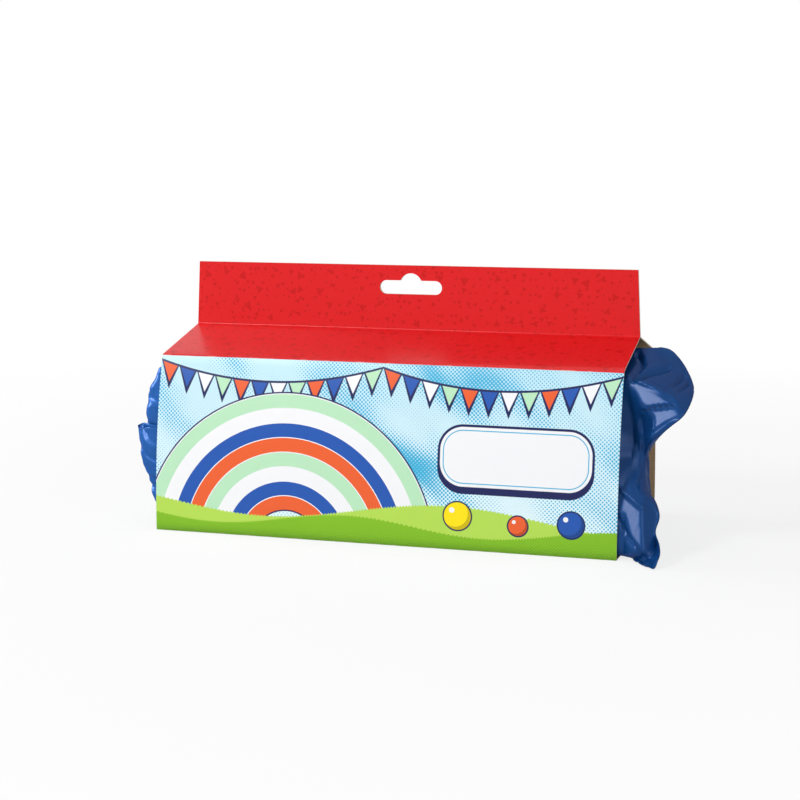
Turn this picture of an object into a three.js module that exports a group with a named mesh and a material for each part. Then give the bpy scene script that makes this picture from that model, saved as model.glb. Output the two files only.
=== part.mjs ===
// Play parachute, folded into its satin storage bag, inside a printed card sleeve with a hanging header.
// Millimetres, +Z up. The origin is the middle of the sleeve's base, where it stands.
// +X runs along the sleeve to the right as its front is seen, and the front faces -Y.
import * as THREE from "three";

// Card sleeve: one creased strip of board, wrapped round the bag and glued at the header
const SLEEVE_LENGTH = 228.6;
const BASE_DEPTH = 112;
const CREASE_DEPTH = 90; // between the two shoulder creases
const FRONT_HEIGHT = 86; // from the base to the shoulder creases
const BOW_HEIGHT = 48; // where the front stops being upright and leans back to its crease
const SHOULDER_RISE = 10.6;
const HEADER_HEIGHT = 32;
const HEADER_TAPER = 1.5; // each side of the header draws in by this much at its top
const CARD = 0.6;
const CREASE_GAP = 0.3;
const GLUE_GAP = 0.3; // between the two leaves of the header

// Hanging slot: a long slot for two prongs with a round top for one peg
const SLOT_LENGTH = 32;
const SLOT_HEIGHT = 6.8;
const SLOT_TOP_MARGIN = 7.5; // from the straight top of the slot to the top of the header
const PEG_RADIUS = 5.8;
const PEG_RISE = 1.2; // centre of the round top above the middle of the slot

// Storage bag: a front and a back cloth, and the drawstring casing round its mouth
const CLOTH = 0.8;
const BAG_CLEARANCE = 0.5;
const BAG_CORNER = 10; // how far the rounding of a soft corner reaches along each side
const SEAM_GAP = 0.3;
const MOUTH_OVERHANG = 11.5; // how far the slack sides of the mouth bulge past the left end of the sleeve
const MOUTH_REVEAL = 1; // the mouth past the sleeve at its top and bottom
const CASING_WIDTH = 20;
const CASING_THICKNESS = 1; // two plies
const CORD_EXIT = 6; // gap in the casing, where a drawstring would come out
const EXIT_ALONG = 98; // middle of that gap, along the cloth from the bottom seam round the front

// The bag's closed end, past the right end of the sleeve: its seam runs from a lower ear to an upper ear
const UPPER_EAR_REACH = 27;
const LOWER_EAR_REACH = 17;
const WAIST_REACH = 6;
const UPPER_EAR_HEIGHT = 75;
const EAR_TOP_HEIGHT = 91;
const WAIST_HEIGHT = 42;
const LOWER_EAR_HEIGHT = 13;
const TAIL_HEIGHT = 1.6;
const TAIL_FORWARD = 64; // how far in front of the middle the lowest tip of the cloth lies
const UPPER_EAR_FORWARD = 8;

// Folded canopy: all gores are laid on each other and folded to and fro together
const GORE_COLOURS = ["orange", "blue", "white", "green", "orange", "blue", "white", "green"];
const GORE_THICKNESS = 0.8; // one gore, pleated lengthwise to the depth of the packet
const PLY_GAP = 0.35;
const PACKET_INSET = 10; // from each end of the sleeve
const PACKET_CLEARANCE = 2;
const LAY_GAP = 0.3;
const HUB_DIAMETER = 150;
const HUB_THICKNESS = 0.8; // the white centre disc, folded in half
const RIM_TAPE_WIDTH = 12;

// Handles: flattened loops of webbing, sewn to the rim
const HANDLE_COUNT = 12;
const HANDLE_LENGTH = 95;
const WEBBING_WIDTH = 25;
const WEBBING = 1.1;
const LOOP_GAP = 0.4;
const HANDLE_SPACE = 2;

// Fineness of curves
const BOW_STEPS = 8;
const SECTION_POINTS = 40;
const CASING_POINTS = 40; // each half of the casing
const END_STEPS = 8;
const FOLD_STEPS = 8;
const ARC_SEGMENTS = 6;

const HALF_LENGTH = SLEEVE_LENGTH / 2;
const HEADER_BASE = FRONT_HEIGHT + SHOULDER_RISE;
const HEADER_FACE = GLUE_GAP / 2 + CARD;

const COLOURS = {
  printed_red: 0xdf2a2b,
  printed_sky: 0xbfe3ee,
  printed_ground: 0x93c83d,
  satin: 0x1d4f9f,
  orange: 0xe8623c,
  blue: 0x2a55a8,
  white: 0xf1f1f4,
  green: 0xbfe6c6,
  tape: 0x3aa565,
  webbing: 0x17181a,
};

const part = new THREE.Group();

function material(colour, roughness) {
  return new THREE.MeshStandardMaterial({ color: COLOURS[colour], roughness, metalness: 0 });
}

const glossCard = (colour) => material(colour, 0.35);
const satinCloth = () => material("satin", 0.3);
const nylon = (colour) => material(colour, 0.5);
const webbingTape = () => material("webbing", 0.8);

function addMesh(name, geometry, finish, parent = part) {
  const mesh = new THREE.Mesh(geometry, finish);
  mesh.name = name;
  parent.add(mesh);
  return mesh;
}

// Groups that turn drawn outlines into place
// Outlines drawn in (Y, Z) and extruded along X
const endOn = new THREE.Group();
endOn.quaternion.setFromAxisAngle(new THREE.Vector3(1, 1, 1).normalize(), (2 * Math.PI) / 3);
// Outlines drawn in (X, Z) and extruded along -Y
const sideOn = new THREE.Group();
sideOn.rotation.x = Math.PI / 2;
part.add(endOn, sideOn);

function extrude(shape, depth) {
  return new THREE.ExtrudeGeometry(shape, { depth, bevelEnabled: false, curveSegments: ARC_SEGMENTS });
}

function addEndOn(name, shape, xStart, depth, finish) {
  const mesh = addMesh(name, extrude(shape, depth), finish, endOn);
  mesh.position.z = xStart;
  return mesh;
}

function addSideOn(name, shape, yMiddle, depth, finish) {
  const mesh = addMesh(name, extrude(shape, depth), finish, sideOn);
  mesh.position.z = -yMiddle - depth / 2;
  return mesh;
}

// Profile of the sleeve, seen from its end, in (Y, Z)
const vec = (y, z) => new THREE.Vector2(y, z);
const mirrored = (points) => points.map((p) => vec(-p.x, p.y));
const baseCorner = vec(-BASE_DEPTH / 2, 0);
const bowControl = vec(-BASE_DEPTH / 2, BOW_HEIGHT);
const crease = vec(-CREASE_DEPTH / 2, FRONT_HEIGHT);
const headerFoot = vec(-HEADER_FACE, HEADER_BASE);
const frontTop = crease.clone().sub(bowControl).normalize(); // the way the front runs at its crease
const shoulderRun = headerFoot.clone().sub(crease).normalize();
const inward = (run) => vec(run.y, -run.x);

// The corner between two runs of the profile, moved inwards by a distance
function innerCorner(corner, runIn, runOut, distance) {
  const a = inward(runIn);
  const b = inward(runOut);
  return a.clone().add(b).multiplyScalar(distance / (1 + a.dot(b))).add(corner);
}

// A strip of board between an outer and an inner line, shortened at both ends for the creases
function boardShape(outer, inner) {
  const trim = (line) => {
    const points = line.map((p) => p.clone());
    const last = points.length - 1;
    const startRun = points[1].clone().sub(points[0]).normalize();
    const endRun = points[last].clone().sub(points[last - 1]).normalize();
    points[0].addScaledVector(startRun, CREASE_GAP / 2);
    points[last].addScaledVector(endRun, -CREASE_GAP / 2);
    return points;
  };
  return new THREE.Shape([...trim(outer), ...trim(inner).reverse()]);
}

function bowedLine(start, control, end) {
  return new THREE.QuadraticBezierCurve(start, control, end).getPoints(BOW_STEPS);
}

function addSleeve() {
  const up = vec(0, 1);
  const across = vec(-1, 0);
  const innerBase = innerCorner(baseCorner, across, up, CARD);
  const innerCrease = innerCorner(crease, frontTop, shoulderRun, CARD);
  const innerFoot = innerCorner(headerFoot, shoulderRun, up, CARD);
  const innerControl = vec(bowControl.x + CARD, BOW_HEIGHT);

  const frontOuter = bowedLine(baseCorner, bowControl, crease);
  const frontInner = bowedLine(innerBase, innerControl, innerCrease);
  const shoulderOuter = [crease, headerFoot];
  const shoulderInner = [innerCrease, innerFoot];
  const baseOuter = [vec(-baseCorner.x, 0), baseCorner];
  const baseInner = [vec(-innerBase.x, CARD), innerBase];

  const walls = [
    ["front_panel", boardShape(frontOuter, frontInner), "printed_sky"],
    ["front_shoulder", boardShape(shoulderOuter, shoulderInner), "printed_red"],
    ["back_panel", boardShape(mirrored(frontOuter), mirrored(frontInner)), "printed_sky"],
    ["back_shoulder", boardShape(mirrored(shoulderOuter), mirrored(shoulderInner)), "printed_red"],
    ["base_panel", boardShape(baseOuter, baseInner), "printed_ground"],
  ];
  for (const [name, shape, colour] of walls) {
    addEndOn(name, shape, -HALF_LENGTH, SLEEVE_LENGTH, glossCard(colour));
  }
  addHeader();
}

// The two leaves of the header, with the hanging slot through both
function addHeader() {
  const foot = HEADER_BASE + CREASE_GAP;
  const top = HEADER_BASE + HEADER_HEIGHT;
  const leaf = new THREE.Shape();
  leaf.moveTo(-HALF_LENGTH, foot);
  leaf.lineTo(HALF_LENGTH, foot);
  leaf.lineTo(HALF_LENGTH - HEADER_TAPER, top);
  leaf.lineTo(-HALF_LENGTH + HEADER_TAPER, top);
  leaf.closePath();
  leaf.holes.push(hangingSlot(top));
  const offset = (GLUE_GAP + CARD) / 2;
  addSideOn("header_front_leaf", leaf, -offset, CARD, glossCard("printed_red"));
  addSideOn("header_back_leaf", leaf, offset, CARD, glossCard("printed_red"));
}

function hangingSlot(headerTop) {
  const radius = SLOT_HEIGHT / 2;
  const middle = headerTop - SLOT_TOP_MARGIN - radius;
  const armEnd = SLOT_LENGTH / 2 - radius;
  const start = Math.asin((radius - PEG_RISE) / PEG_RADIUS); // where the round top leaves the straight top
  const slot = new THREE.Path();
  slot.absarc(armEnd, middle, radius, -Math.PI / 2, Math.PI / 2, false);
  slot.absarc(0, middle + PEG_RISE, PEG_RADIUS, start, Math.PI - start, false);
  slot.absarc(-armEnd, middle, radius, Math.PI / 2, (3 * Math.PI) / 2, false);
  slot.closePath();
  return slot;
}

// The front of the bag seen from its end, set in from the outside of the sleeve and following its bow
function bagBow(setIn) {
  const corner = vec(baseCorner.x + setIn, setIn);
  const control = vec(bowControl.x + setIn, BOW_HEIGHT);
  const top = innerCorner(crease, frontTop, shoulderRun, setIn);
  return new THREE.QuadraticBezierCurve(corner, control, top);
}

// The part of the bag's front between its two rounded corners
function flatOfBow(bow) {
  const corner = BAG_CORNER / bow.getLength();
  const points = [];
  for (let step = 0; step <= BOW_STEPS; step++) {
    points.push(bow.getPointAt(THREE.MathUtils.lerp(corner, 1 - corner, step / BOW_STEPS)));
  }
  return points;
}

// Half of the bag's section, from its bottom seam round the front to its top seam
function bagHalfLine(setIn) {
  const bow = bagBow(setIn);
  const corner = bow.v0;
  const top = bow.v2;
  const front = flatOfBow(bow);
  const afterTop = top.clone().addScaledVector(shoulderRun, BAG_CORNER);
  const seam = -SEAM_GAP / 2;
  const peak = top.y + ((seam - top.x) * shoulderRun.y) / shoulderRun.x;
  const line = new THREE.Path();
  line.moveTo(seam, setIn);
  line.lineTo(corner.x + BAG_CORNER, setIn);
  line.quadraticCurveTo(corner.x, corner.y, front[0].x, front[0].y);
  front.slice(1).forEach((p) => line.lineTo(p.x, p.y));
  line.quadraticCurveTo(top.x, top.y, afterTop.x, afterTop.y);
  line.lineTo(seam, peak);
  return line;
}

// The slack rim of the mouth: its sides bulge past the sleeve, its top and bottom lie level with it
function mouthRim(height) {
  const bulge = Math.sin((Math.PI * height) / FRONT_HEIGHT) ** 2;
  return -HALF_LENGTH - MOUTH_REVEAL - MOUTH_OVERHANG * bulge;
}

const BAG_OUTSIDE = CARD + BAG_CLEARANCE;
const BAG_INSIDE = BAG_OUTSIDE + CLOTH;

// The seam that closes the bag's right end, from the tail at the bottom to the top of the upper ear
const endSeam = new THREE.CatmullRomCurve3(
  [
    new THREE.Vector3(HALF_LENGTH + LOWER_EAR_REACH, -TAIL_FORWARD, TAIL_HEIGHT),
    new THREE.Vector3(HALF_LENGTH + LOWER_EAR_REACH, -TAIL_FORWARD / 2, LOWER_EAR_HEIGHT),
    new THREE.Vector3(HALF_LENGTH + WAIST_REACH, -UPPER_EAR_FORWARD, WAIST_HEIGHT),
    new THREE.Vector3(HALF_LENGTH + UPPER_EAR_REACH, -UPPER_EAR_FORWARD, UPPER_EAR_HEIGHT),
    new THREE.Vector3(HALF_LENGTH + UPPER_EAR_REACH / 2, -UPPER_EAR_FORWARD / 2, EAR_TOP_HEIGHT),
  ],
  false,
  "centripetal",
);

// One face of a half of the bag: rows of points round the half section, drawn together on the end seam
function bagFace(setIn, fromSeam, side) {
  const section = bagHalfLine(setIn).getSpacedPoints(SECTION_POINTS);
  const row = (x) => section.map((p) => new THREE.Vector3(x, side * -p.x, p.y));
  const mouthRow = row(0);
  mouthRow.forEach((p) => p.setX(mouthRim(p.z) + CASING_WIDTH + SEAM_GAP));
  const rows = [mouthRow, row(HALF_LENGTH)];
  for (let step = 1; step <= END_STEPS; step++) {
    const along = Math.sin((step / END_STEPS) * (Math.PI / 2));
    const open = Math.cos((step / END_STEPS) * (Math.PI / 2));
    rows.push(
      row(HALF_LENGTH).map((p, i) => {
        const seam = endSeam.getPointAt(i / SECTION_POINTS);
        seam.y += side * fromSeam;
        return new THREE.Vector3(
          THREE.MathUtils.lerp(p.x, seam.x, along),
          THREE.MathUtils.lerp(seam.y, p.y, open),
          THREE.MathUtils.lerp(p.z, seam.z, along * along),
        );
      }),
    );
  }
  return rows;
}

// A closed sheet between two faces that have the same rows of points
function sheetGeometry(outer, inner, flip) {
  const rows = outer.length;
  const columns = outer[0].length;
  const points = [...outer.flat(), ...inner.flat()];
  const at = (face, r, c) => (face * rows + r) * columns + c;
  const index = [];
  const quad = (a, b, c, d) => {
    index.push(...(flip ? [a, c, b, a, d, c] : [a, b, c, a, c, d]));
  };
  for (let r = 0; r + 1 < rows; r++) {
    for (let c = 0; c + 1 < columns; c++) {
      quad(at(0, r, c), at(0, r + 1, c), at(0, r + 1, c + 1), at(0, r, c + 1));
      quad(at(1, r, c), at(1, r, c + 1), at(1, r + 1, c + 1), at(1, r + 1, c));
    }
  }
  for (let r = 0; r + 1 < rows; r++) {
    const last = columns - 1;
    quad(at(0, r, 0), at(1, r, 0), at(1, r + 1, 0), at(0, r + 1, 0));
    quad(at(0, r, last), at(0, r + 1, last), at(1, r + 1, last), at(1, r, last));
  }
  for (let c = 0; c + 1 < columns; c++) {
    const last = rows - 1;
    quad(at(0, 0, c), at(0, 0, c + 1), at(1, 0, c + 1), at(1, 0, c));
    quad(at(0, last, c), at(1, last, c), at(1, last, c + 1), at(0, last, c + 1));
  }
  const geometry = new THREE.BufferGeometry().setFromPoints(points);
  geometry.setIndex(index);
  geometry.computeVertexNormals();
  return geometry;
}

function addBag() {
  const halfSeam = SEAM_GAP / 2;
  for (const [name, side] of [["bag_front_cloth", -1], ["bag_back_cloth", 1]]) {
    const outer = bagFace(BAG_OUTSIDE, halfSeam + CLOTH, side);
    const inner = bagFace(BAG_INSIDE, halfSeam, side);
    addMesh(name, sheetGeometry(outer, inner, side > 0), satinCloth());
  }
  addMouthCasing();
}

// Evenly spread values, both ends included
function spread(from, to, steps) {
  return Array.from({ length: steps + 1 }, (_, i) => THREE.MathUtils.lerp(from, to, i / steps));
}

// The hem round the bag's mouth, from above the cord's exit over the back to below the exit
function addMouthCasing() {
  const clothLength = bagHalfLine(BAG_OUTSIDE).getLength();
  const aboveExit = (EXIT_ALONG + CORD_EXIT / 2) / clothLength;
  const belowExit = (EXIT_ALONG - CORD_EXIT / 2) / clothLength;
  const face = (setIn) => {
    const line = bagHalfLine(setIn);
    const front = (along) => line.getPoint(along);
    const back = (along) => vec(-line.getPoint(along).x, line.getPoint(along).y);
    const round = [
      ...spread(aboveExit, 1, CASING_POINTS / 2).map(front),
      ...spread(1, 0, CASING_POINTS).map(back),
      ...spread(0, belowExit, CASING_POINTS / 2).map(front),
    ];
    const row = (width) => round.map((p) => new THREE.Vector3(mouthRim(p.y) + width, p.x, p.y));
    return [row(0), row(CASING_WIDTH)];
  };
  const outer = face(BAG_OUTSIDE);
  const inner = face(BAG_OUTSIDE + CASING_THICKNESS);
  addMesh("bag_mouth_casing", sheetGeometry(outer, inner, false), satinCloth());
}

// The packet takes the room that the bag leaves below the rounding of its shoulders
const roomTop = flatOfBow(bagBow(BAG_INSIDE)).pop();
const PACKET_DEPTH = 2 * (-roomTop.x - PACKET_CLEARANCE);
const PACKET_LENGTH = SLEEVE_LENGTH - 2 * PACKET_INSET;
const PACKET_END = PACKET_LENGTH / 2;
const HUB_FLOOR = BAG_INSIDE + LAY_GAP;
const CANOPY_FLOOR = HUB_FLOOR + HUB_THICKNESS + LAY_GAP;
const HANDLE_HEIGHT = 2 * WEBBING + LOOP_GAP;
const HANDLES_ACROSS = Math.floor((PACKET_DEPTH + HANDLE_SPACE) / (WEBBING_WIDTH + HANDLE_SPACE));
const HANDLES_ALONG = Math.floor((PACKET_LENGTH + HANDLE_SPACE) / (HANDLE_LENGTH + HANDLE_SPACE));
const HANDLE_LAYER = HANDLES_ACROSS * HANDLES_ALONG;
const HANDLE_LAYERS = Math.ceil(HANDLE_COUNT / HANDLE_LAYER);
const HANDLES_ROOM = HANDLE_LAYERS * (HANDLE_HEIGHT + LAY_GAP);
const PLY = GORE_THICKNESS + PLY_GAP;
const FOLD_PITCH = GORE_COLOURS.length * PLY;
const FOLD_RUNS = Math.floor((roomTop.y - HANDLES_ROOM - CANOPY_FLOOR) / FOLD_PITCH);
const CANOPY_TOP = CANOPY_FLOOR + FOLD_RUNS * FOLD_PITCH;
const TOP_RUN = CANOPY_TOP - FOLD_PITCH / 2; // middle height of the top run of the folded stack

// How far a gore lies above the middle of the stack, on the runs that go to the right
const plyOffset = (gore) => ((GORE_COLOURS.length - 1) / 2 - gore) * PLY;

// The line of a strip folded to and fro, from its top run down, for a ply off the middle of the stack
function foldedLine(fold, off) {
  const { from, low, high, top, pitch, runs } = fold;
  const goesUp = (run) => run % 2 === 0;
  const points = [vec(from, top + off)];
  for (let run = 0; run + 1 < runs; run++) {
    const centre = vec(goesUp(run) ? high : low, top - (run + 0.5) * pitch);
    const way = goesUp(run) ? 1 : -1;
    const radius = pitch / 2 + way * off;
    for (let step = 0; step <= FOLD_STEPS; step++) {
      const turn = Math.PI * (0.5 - step / FOLD_STEPS);
      points.push(vec(centre.x + way * radius * Math.cos(turn), centre.y + radius * Math.sin(turn)));
    }
  }
  const last = runs - 1;
  const way = goesUp(last) ? 1 : -1;
  points.push(vec(goesUp(last) ? high : low, top - last * pitch + way * off));
  return points;
}

function foldedStrip(fold, off, thickness) {
  const upper = foldedLine(fold, off + thickness / 2);
  const lower = foldedLine(fold, off - thickness / 2);
  return new THREE.Shape([...upper, ...lower.reverse()]);
}

// The gores, nested in each other's folds
function addGores() {
  const fold = {
    from: -PACKET_END + RIM_TAPE_WIDTH + LAY_GAP,
    low: -PACKET_END + FOLD_PITCH,
    high: PACKET_END - FOLD_PITCH,
    top: TOP_RUN,
    pitch: FOLD_PITCH,
    runs: FOLD_RUNS,
  };
  GORE_COLOURS.forEach((colour, gore) => {
    const strip = foldedStrip(fold, plyOffset(gore), GORE_THICKNESS);
    addSideOn(`gore_${gore + 1}_${colour}`, strip, 0, PACKET_DEPTH, nylon(colour));
  });
}

// The tape that binds the canopy's rim, running from gore to gore at the outer end of the top run
function addRimTape() {
  const fold = {
    from: -PACKET_DEPTH / 2,
    low: -PACKET_DEPTH / 2 + PLY,
    high: PACKET_DEPTH / 2 - PLY,
    top: TOP_RUN + plyOffset(0),
    pitch: PLY,
    runs: GORE_COLOURS.length,
  };
  const strip = foldedStrip(fold, 0, GORE_THICKNESS);
  addEndOn("rim_tape", strip, -PACKET_END, RIM_TAPE_WIDTH, nylon("tape"));
}

// The white centre disc, folded in half below the stack
function addHub() {
  const radius = HUB_DIAMETER / 2;
  const half = new THREE.Shape();
  half.absarc(0, -radius / 2, radius, 0, Math.PI, false);
  half.closePath();
  const mesh = addMesh("hub_disc", extrude(half, HUB_THICKNESS), nylon("white"));
  mesh.position.z = HUB_FLOOR;
}

// One handle: a loop of webbing pressed flat, its two sewn ends at the left
function handleShape() {
  const bend = HANDLE_HEIGHT / 2;
  const bendAt = HANDLE_LENGTH - bend;
  const loop = new THREE.Shape();
  loop.moveTo(0, 0);
  loop.absarc(bendAt, bend, bend, -Math.PI / 2, Math.PI / 2, false);
  loop.lineTo(0, HANDLE_HEIGHT);
  loop.lineTo(0, HANDLE_HEIGHT - WEBBING);
  loop.absarc(bendAt, bend, LOOP_GAP / 2, Math.PI / 2, -Math.PI / 2, true);
  loop.lineTo(0, WEBBING);
  loop.closePath();
  return loop;
}

function addHandles() {
  const shape = handleShape();
  const stepAlong = HANDLE_LENGTH + HANDLE_SPACE;
  const stepAcross = WEBBING_WIDTH + HANDLE_SPACE;
  const firstX = -(HANDLES_ALONG * stepAlong - HANDLE_SPACE) / 2;
  const firstY = (-(HANDLES_ACROSS - 1) * stepAcross) / 2;
  for (let handle = 0; handle < HANDLE_COUNT; handle++) {
    const layer = Math.floor(handle / HANDLE_LAYER);
    const place = handle % HANDLE_LAYER;
    const along = place % HANDLES_ALONG;
    const across = Math.floor(place / HANDLES_ALONG);
    const name = `handle_${String(handle + 1).padStart(2, "0")}`;
    const mesh = addSideOn(name, shape, firstY + across * stepAcross, WEBBING_WIDTH, webbingTape());
    mesh.position.x = firstX + along * stepAlong;
    mesh.position.y = CANOPY_TOP + LAY_GAP + layer * (HANDLE_HEIGHT + LAY_GAP);
  }
}

addSleeve();
addBag();
addGores();
addRimTape();
addHub();
addHandles();

export default part;
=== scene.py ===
"""Looks of a play parachute packed for the shop: card sleeve, satin bag and folded canopy.

Metres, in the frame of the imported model: +X along the sleeve, +Z up, the front faces -Y.
"""

import bisect
import math

import bpy
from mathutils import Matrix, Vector, noise
from mathutils.bvhtree import BVHTree


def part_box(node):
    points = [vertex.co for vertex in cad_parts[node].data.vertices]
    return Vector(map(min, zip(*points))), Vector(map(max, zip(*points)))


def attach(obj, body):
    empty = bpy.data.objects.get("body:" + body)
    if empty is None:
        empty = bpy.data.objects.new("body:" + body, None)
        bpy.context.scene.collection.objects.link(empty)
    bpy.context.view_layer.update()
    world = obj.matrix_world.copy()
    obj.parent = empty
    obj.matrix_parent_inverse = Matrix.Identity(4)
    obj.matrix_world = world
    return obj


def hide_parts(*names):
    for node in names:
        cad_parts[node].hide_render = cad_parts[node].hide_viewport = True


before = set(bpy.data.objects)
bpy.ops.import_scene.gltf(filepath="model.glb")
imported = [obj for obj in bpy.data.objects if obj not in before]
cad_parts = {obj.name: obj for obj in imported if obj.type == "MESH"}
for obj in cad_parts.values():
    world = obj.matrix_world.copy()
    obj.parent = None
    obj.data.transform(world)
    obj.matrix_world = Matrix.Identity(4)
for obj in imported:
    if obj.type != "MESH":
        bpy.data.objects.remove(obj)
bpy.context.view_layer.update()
MM = 0.001

# Sizes of the sleeve and of the folded parachute, read from the frame
BASE_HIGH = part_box("base_panel")[1]
FRONT_LOW, FRONT_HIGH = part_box("front_panel")
SHOULDER_LOW, SHOULDER_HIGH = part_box("front_shoulder")
HEADER_LOW, HEADER_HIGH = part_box("header_front_leaf")
RIM_LOW, RIM_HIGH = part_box("rim_tape")
HUB_LOW, HUB_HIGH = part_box("hub_disc")
CARD = HEADER_HIGH.y - HEADER_LOW.y
HALF_LENGTH = BASE_HIGH.x
HALF_BASE = -FRONT_LOW.y
HALF_CREASE = -SHOULDER_LOW.y
CREASE_HEIGHT = (FRONT_HIGH.z + SHOULDER_LOW.z) / 2
HEADER_FOOT = SHOULDER_HIGH.z
HEADER_TOP = HEADER_HIGH.z
HEADER_FACE = -HEADER_LOW.y
PACKET_END = -RIM_LOW.x
HEADER_TAPER = 1.5 * MM
BOW_HEIGHT = 48 * MM

# The hanging slot, as in the header's solids
SLOT_LENGTH = 32 * MM
SLOT_HEIGHT = 6.8 * MM
SLOT_TOP_MARGIN = 7.5 * MM
PEG_RADIUS = 5.8 * MM
PEG_RISE = 1.2 * MM

# Camera of the photograph
CAMERA_PLACE = Vector((0.24775, -0.82945, 0.18787))
CAMERA_YAW = 0.2966
CAMERA_PITCH = 0.1451
CAMERA_ROLL = 0.0009
CAMERA_LENS = 78.81
CAMERA_SENSOR = 36.0


# Points and meshes

def in_mm(*places):
    """Points whose measures are written in millimetres."""
    return [Vector(p) * MM for p in places]


def new_object(name, verts, faces):
    mesh = bpy.data.meshes.new(name)
    mesh.from_pydata([tuple(v) for v in verts], [], faces)
    mesh.update()
    piece = bpy.data.objects.new(name, mesh)
    bpy.context.scene.collection.objects.link(piece)
    return piece


def grid_faces(rows, columns):
    """Quads of a grid whose points run along each row in turn."""
    faces = []
    for r in range(rows - 1):
        for c in range(columns - 1):
            a = r * columns + c
            faces.append((a, a + 1, a + columns + 1, a + columns))
    return faces


def shade_smooth(piece):
    for face in piece.data.polygons:
        face.use_smooth = True


def map_flat(piece, name, places):
    """A UV map that gives each point of a mesh its place on the flat sheet."""
    layer = piece.data.uv_layers.new(name=name)
    for loop in piece.data.loops:
        layer.data[loop.index].uv = places[loop.vertex_index]


def subdivide(piece):
    smooth = piece.modifiers.new("smooth", "SUBSURF")
    smooth.levels = smooth.render_levels = 1


def thicken(piece, thickness, offset):
    """Gives a sheet its thickness: on its inner side at -1, half on each side at 0."""
    wall = piece.modifiers.new("wall", "SOLIDIFY")
    wall.thickness = thickness
    wall.offset = offset
    return wall


def apply_modifiers(piece):
    """Turns a piece and its modifiers into a plain mesh."""
    depsgraph = bpy.context.evaluated_depsgraph_get()
    mesh = bpy.data.meshes.new_from_object(piece.evaluated_get(depsgraph))
    old = piece.data
    piece.modifiers.clear()
    piece.data = mesh
    mesh.name = piece.name
    bpy.data.meshes.remove(old)


def quadratic(start, control, end, steps):
    """Points of a quadratic curve, both ends included."""
    points = []
    for i in range(steps + 1):
        t = i / steps
        points.append(start * (1 - t) ** 2 + control * 2 * t * (1 - t) + end * t ** 2)
    return points


# Shader graphs

# Sockets of a Mix node that mixes colours
MIX_A = 6
MIX_B = 7
MIX_RESULT = 2


class Graph:
    """Adds shader nodes to a new material and links them."""

    def __init__(self, name):
        self.material = bpy.data.materials.new(name)
        self.material.use_nodes = True
        self.tree = self.material.node_tree
        self.shader = self.tree.nodes["Principled BSDF"]

    def set(self, node, socket, value):
        if isinstance(value, bpy.types.NodeSocket):
            self.tree.links.new(value, node.inputs[socket])
        else:
            node.inputs[socket].default_value = value

    def add(self, kind, inputs=(), **settings):
        node = self.tree.nodes.new("ShaderNode" + kind)
        for key, value in settings.items():
            setattr(node, key, value)
        for socket, value in dict(inputs).items():
            self.set(node, socket, value)
        return node

    def math(self, operation, a, b=0.0, c=0.0):
        inputs = {0: a, 1: b, 2: c}
        return self.add("Math", inputs, operation=operation).outputs[0]

    def below(self, value, edge, softness):
        """1 where the value is under the edge, 0 where it is over it."""
        node = self.add("MapRange", interpolation_type="SMOOTHSTEP")
        self.set(node, "Value", value)
        self.set(node, "From Min", self.math("SUBTRACT", edge, softness))
        self.set(node, "From Max", self.math("ADD", edge, softness))
        self.set(node, "To Min", 1.0)
        self.set(node, "To Max", 0.0)
        return node.outputs[0]

    def mix(self, factor, a, b):
        node = self.add("Mix", data_type="RGBA")
        self.set(node, 0, factor)
        self.set(node, MIX_A, a)
        self.set(node, MIX_B, b)
        return node.outputs[MIX_RESULT]

    def spread(self, value, low, high):
        """A value from 0 to 1, put between two limits."""
        return self.math("MULTIPLY_ADD", value, high - low, low)

    def speckle(self, place, scale, detail):
        """Noise from 0 to 1."""
        return self.add("TexNoise", {"Vector": place, "Scale": scale, "Detail": detail}).outputs[0]

    def ribs(self, place, pitch):
        """Even ribs from -1 to 1, a pitch apart."""
        return self.math("SINE", self.math("MULTIPLY", place, 2 * math.pi / pitch))

    def bump(self, height, strength, distance):
        return self.add("Bump", {"Height": height, "Strength": strength, "Distance": distance}).outputs[0]

    def object_place(self):
        return self.add("TexCoord").outputs["Object"]

    def flat_place(self, name):
        """A place on the flat sheet, and its two measures."""
        place = self.add("UVMap", uv_map=name).outputs[0]
        split = self.add("SeparateXYZ", {0: place})
        return place, split.outputs[0], split.outputs[1]

    def principled(self, **inputs):
        for socket, value in inputs.items():
            self.set(self.shader, socket.replace("_", " "), value)


def srgb(hex_colour):
    """A colour written as in a picture editor, as the linear colour that shaders take."""
    channels = [int(hex_colour[i:i + 2], 16) / 255 for i in (1, 3, 5)]
    linear = [c / 12.92 if c <= 0.04045 else ((c + 0.055) / 1.055) ** 2.4 for c in channels]
    return (*linear, 1.0)


def darker(ink, share):
    return (*(share * c for c in ink[:3]), 1.0)


# Card sleeve: one creased sheet, from the front leaf of the header round the bag to its back leaf

SOFT_CREASE = 4.5 * MM
SHARP_CREASE = 0.9 * MM
FOOT_FOLD = 0.8 * MM
FOLD_STEPS = 6
BOW_STEPS = 22
FLAT_STEPS = 6
LENGTH_STEPS = 60
SLOT_ARC_STEPS = 14
EDGE_SLOT = 2
FLAT_FOOT = 2 * MM

# Slow waves of the board: height, and radians per metre and start of each
CARD_WAVE = 0.25 * MM
WAVE_ALONG = (31, 0.6)
WAVE_DOWN = (47, 1.1)


def crease_radius(x):
    """The front's top crease is sharp at the left end and worn soft at the right end."""
    along = (x + HALF_LENGTH) / (2 * HALF_LENGTH)
    return SHARP_CREASE + (SOFT_CREASE - SHARP_CREASE) * along ** 3


def straight(start, end, steps):
    return [start.lerp(end, i / steps) for i in range(steps + 1)]


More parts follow.
